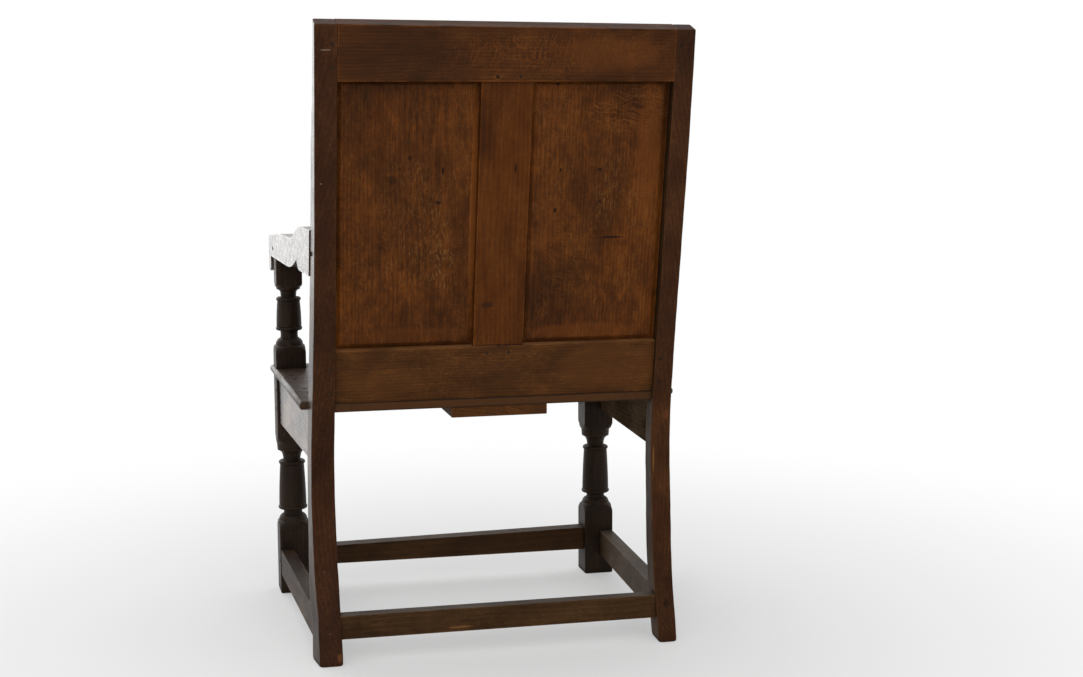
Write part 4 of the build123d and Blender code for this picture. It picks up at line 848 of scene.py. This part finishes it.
def worn_section(corners, side, z, inset):
    """Points round a section, its arrises eased unevenly and its faces a little wavy"""
    centre = sum(corners, Vector()) / 4
    corners = [c + (centre - c).normalized() * inset for c in corners]
    points = []
    for i, corner in enumerate(corners):
        following = corners[(i + 1) % 4]
        before = (corners[i - 1] - corner).normalized()
        after = (following - corner).normalized()
        # each arris and face has its own stretch of noise
        wear = 0.5 + 0.5 * noise.noise((z * WEAR_WAVES, 5.3 * i, 9.1 * side))
        chip = max(0.0, noise.noise((z * CHIP_WAVES, 3.7 * i, 4.4 * side)) - 0.25)
        foot = FOOT_WEAR * math.exp(-z / FOOT_WEAR_HEIGHT)
        round_off = ARRIS_ROUND + ARRIS_WEAR * wear**2 + CHIP_DEPTH * chip + foot
        start, end = corner + before * round_off, corner + after * round_off
        for t in ROUND_SHARES:
            points.append(start.lerp(corner, t).lerp(corner.lerp(end, t), t))
        outward = after.cross(Vector((0, 0, 1))) * side
        for t in FACE_SHARES:
            wave = FACE_WAVE_DEPTH * noise.noise((z * FACE_WAVES, 7.7 * i + t * 3, 2.2 * side))
            points.append(corner.lerp(following, t) + outward * wave)
    return points


def rear_post(name, side):
    top = top_height(side * BACK_HALF, 0.0)
    levels = list(FOOT_EASE)
    while levels[-1][0] + ROW_STEP < top - POST_TOP_ROWS:
        levels.append((levels[-1][0] + ROW_STEP, 0.0))
    rows = [worn_section(post_corners(side, z), side, z, inset) for z, inset in levels]
    # from the last level row up to the sloping top, along the post's own rake
    last = levels[-1][0]
    for step, inset in TOP_EASE:
        corners = []
        for i, corner in enumerate(post_corners(side, last)):
            share = 1.0 if i > 1 else 0.0
            z = corner.z + (top_height(corner.x, share) - corner.z) * step
            corners.append(post_corners(side, z)[i])
        rows.append(worn_section(corners, side, last + TOP_NOISE * step, inset))
    post = skin(name, rows)
    # outer faces take the paler copy, partly painted light; inner faces take their own oak
    for face in post.data.polygons:
        sideways = face.normal.x * side
        face.material_index = 1 if sideways > SIDE_FACING else 2 if sideways < -SIDE_FACING else 0
    even = post.modifiers.new("even", "WEIGHTED_NORMAL")
    even.keep_sharp = True
    return post


for word, side in SIDES:
    node = "rear_post_" + word
    post = rear_post("sawn_" + node, side)
    stand_in(post, node, MATERIALS[node], LIT_POST_SIDE_MATERIAL, POST_INNER_MATERIAL)


# ---- floor, world and lights ----
FLOOR_REACH = 14.0
FLOOR_COLOUR = (0.78, 0.78, 0.765, 1)
FLOOR_ROUGHNESS = 0.9
FLOOR_SPECULAR = 0.1
SHADOW_FADE = (0.35, 1.9)           # between these distances the floor turns into the white ground
NEAR_WHITE = 0.35                   # its share of that white under the chair
WHITE = (1, 1, 1, 1)
SKY_COLOUR = (0.97, 0.98, 1.0, 1)
SKY_FACING = (0.25, -0.93, 0.25)    # where the sky is brightest
SKY_LEVELS = (0.20, 1.05)
MIDDLE = (0.0, 0.0, 0.55)


def ray_masks(s):
    """1 for rays from the camera, straight or through something clear, and 1 for mirrored rays"""
    path = s.node("LightPath").outputs
    seen = s.math("MAXIMUM", path["Is Camera Ray"], path["Is Transmission Ray"])
    return seen, path["Is Glossy Ray"]


def mix_into(s, output, share, first, second):
    mix = s.node("MixShader")
    for socket, value in zip(mix.inputs, (share, first.outputs[0], second.outputs[0])):
        s.plug(socket, value)
    s.plug(output.inputs["Surface"], mix.outputs[0])


def pale_floor():
    """Takes the chair's shadow near it, and turns as white as the ground further out"""
    square = ((-1, -1), (1, -1), (1, 1), (-1, 1))
    corners = [(x * FLOOR_REACH, y * FLOOR_REACH, 0) for x, y in square]
    mesh = bpy.data.meshes.new("floor")
    mesh.from_pydata(corners, [], [(0, 1, 2, 3)])
    floor = bpy.data.objects.new("floor", mesh)
    bpy.context.scene.collection.objects.link(floor)
    material = bpy.data.materials.new("pale_floor")
    s = Shader(material)
    surface = s.tree.nodes["Principled BSDF"]
    surface.inputs["Base Color"].default_value = FLOOR_COLOUR
    surface.inputs["Roughness"].default_value = FLOOR_ROUGHNESS
    surface.inputs["Specular IOR Level"].default_value = FLOOR_SPECULAR
    glow = s.node("Emission")
    glow.inputs["Color"].default_value = WHITE
    seen, mirrored = ray_masks(s)
    far = s.step(s.vector("LENGTH", s.place), *SHADOW_FADE, NEAR_WHITE, 1.0)
    share = s.math("MULTIPLY", far, s.math("MAXIMUM", seen, mirrored))
    mix_into(s, s.tree.nodes["Material Output"], share, surface, glow)
    floor.data.materials.append(material)


def soft_world():
    """White to the camera and in what mirrors the front; lights the chair mostly from the front"""
    world = bpy.data.worlds.new("studio")
    bpy.context.scene.world = world
    s = Shader(world)
    facing = s.vector("DOT_PRODUCT", s.coords["Generated"], SKY_FACING)
    light = s.tree.nodes["Background"]
    light.inputs["Color"].default_value = SKY_COLOUR
    s.plug(light.inputs["Strength"], s.step(facing, -1.0, 1.0, *SKY_LEVELS, kind="LINEAR"))
    white = s.node("Background")
    white.inputs["Color"].default_value = WHITE
    seen, mirrored = ray_masks(s)
    front = s.step(facing, -0.2, 0.2, kind="LINEAR")
    share = s.math("MAXIMUM", seen, s.math("MULTIPLY", mirrored, front))
    mix_into(s, s.tree.nodes["World Output"], share, light, white)


def soft_light(name, at, size, power):
    """A square lamp that faces the middle of the chair"""
    data = bpy.data.lights.new(name, "AREA")
    data.shape = "SQUARE"
    data.size = size
    data.energy = power
    lamp = bpy.data.objects.new(name, data)
    bpy.context.scene.collection.objects.link(lamp)
    lamp.location = at
    lamp.rotation_mode = "QUATERNION"
    lamp.rotation_quaternion = (Vector(MIDDLE) - Vector(at)).to_track_quat("-Z", "Y")


pale_floor()
soft_world()
soft_light("window", (1.7, -3.6, 1.8), 3.4, 50)
soft_light("behind", (0.3, 3.9, 2.4), 3.0, 74)

# ---- the photograph's camera, solved from the chair's straight edges ----
PHOTO_WIDTH = 1083
SENSOR_WIDTH = 36
LENS = 60.48
CENTRE_SHIFT = (-2.228, 0.4615)     # in pixels of the photograph
CAMERA_PLACE = (0.63979, 3.25489, 0.94668)
YAW, PITCH, ROLL = 0.2337142, 0.1272525, -0.0040675
forward = Vector((-math.sin(YAW), -math.cos(YAW), 0))
right = Vector((-math.cos(YAW), math.sin(YAW), 0))
up = Vector((0, 0, 1))
gaze = forward * math.cos(PITCH) - up * math.sin(PITCH)
lifted = up * math.cos(PITCH) + forward * math.sin(PITCH)
across = right * math.cos(ROLL) + lifted * math.sin(ROLL)
upward = lifted * math.cos(ROLL) - right * math.sin(ROLL)
camera_data = bpy.data.cameras.new("camera")
camera_data.sensor_width = SENSOR_WIDTH
camera_data.lens = LENS
camera_data.shift_x, camera_data.shift_y = (shift / PHOTO_WIDTH for shift in CENTRE_SHIFT)
camera = bpy.data.objects.new("camera", camera_data)
bpy.context.scene.collection.objects.link(camera)
turned = Matrix((across, upward, -gaze)).transposed().to_4x4()
camera.matrix_world = Matrix.Translation(CAMERA_PLACE) @ turned
bpy.context.scene.camera = camera

bpy.context.scene.view_settings.view_transform = "Standard"
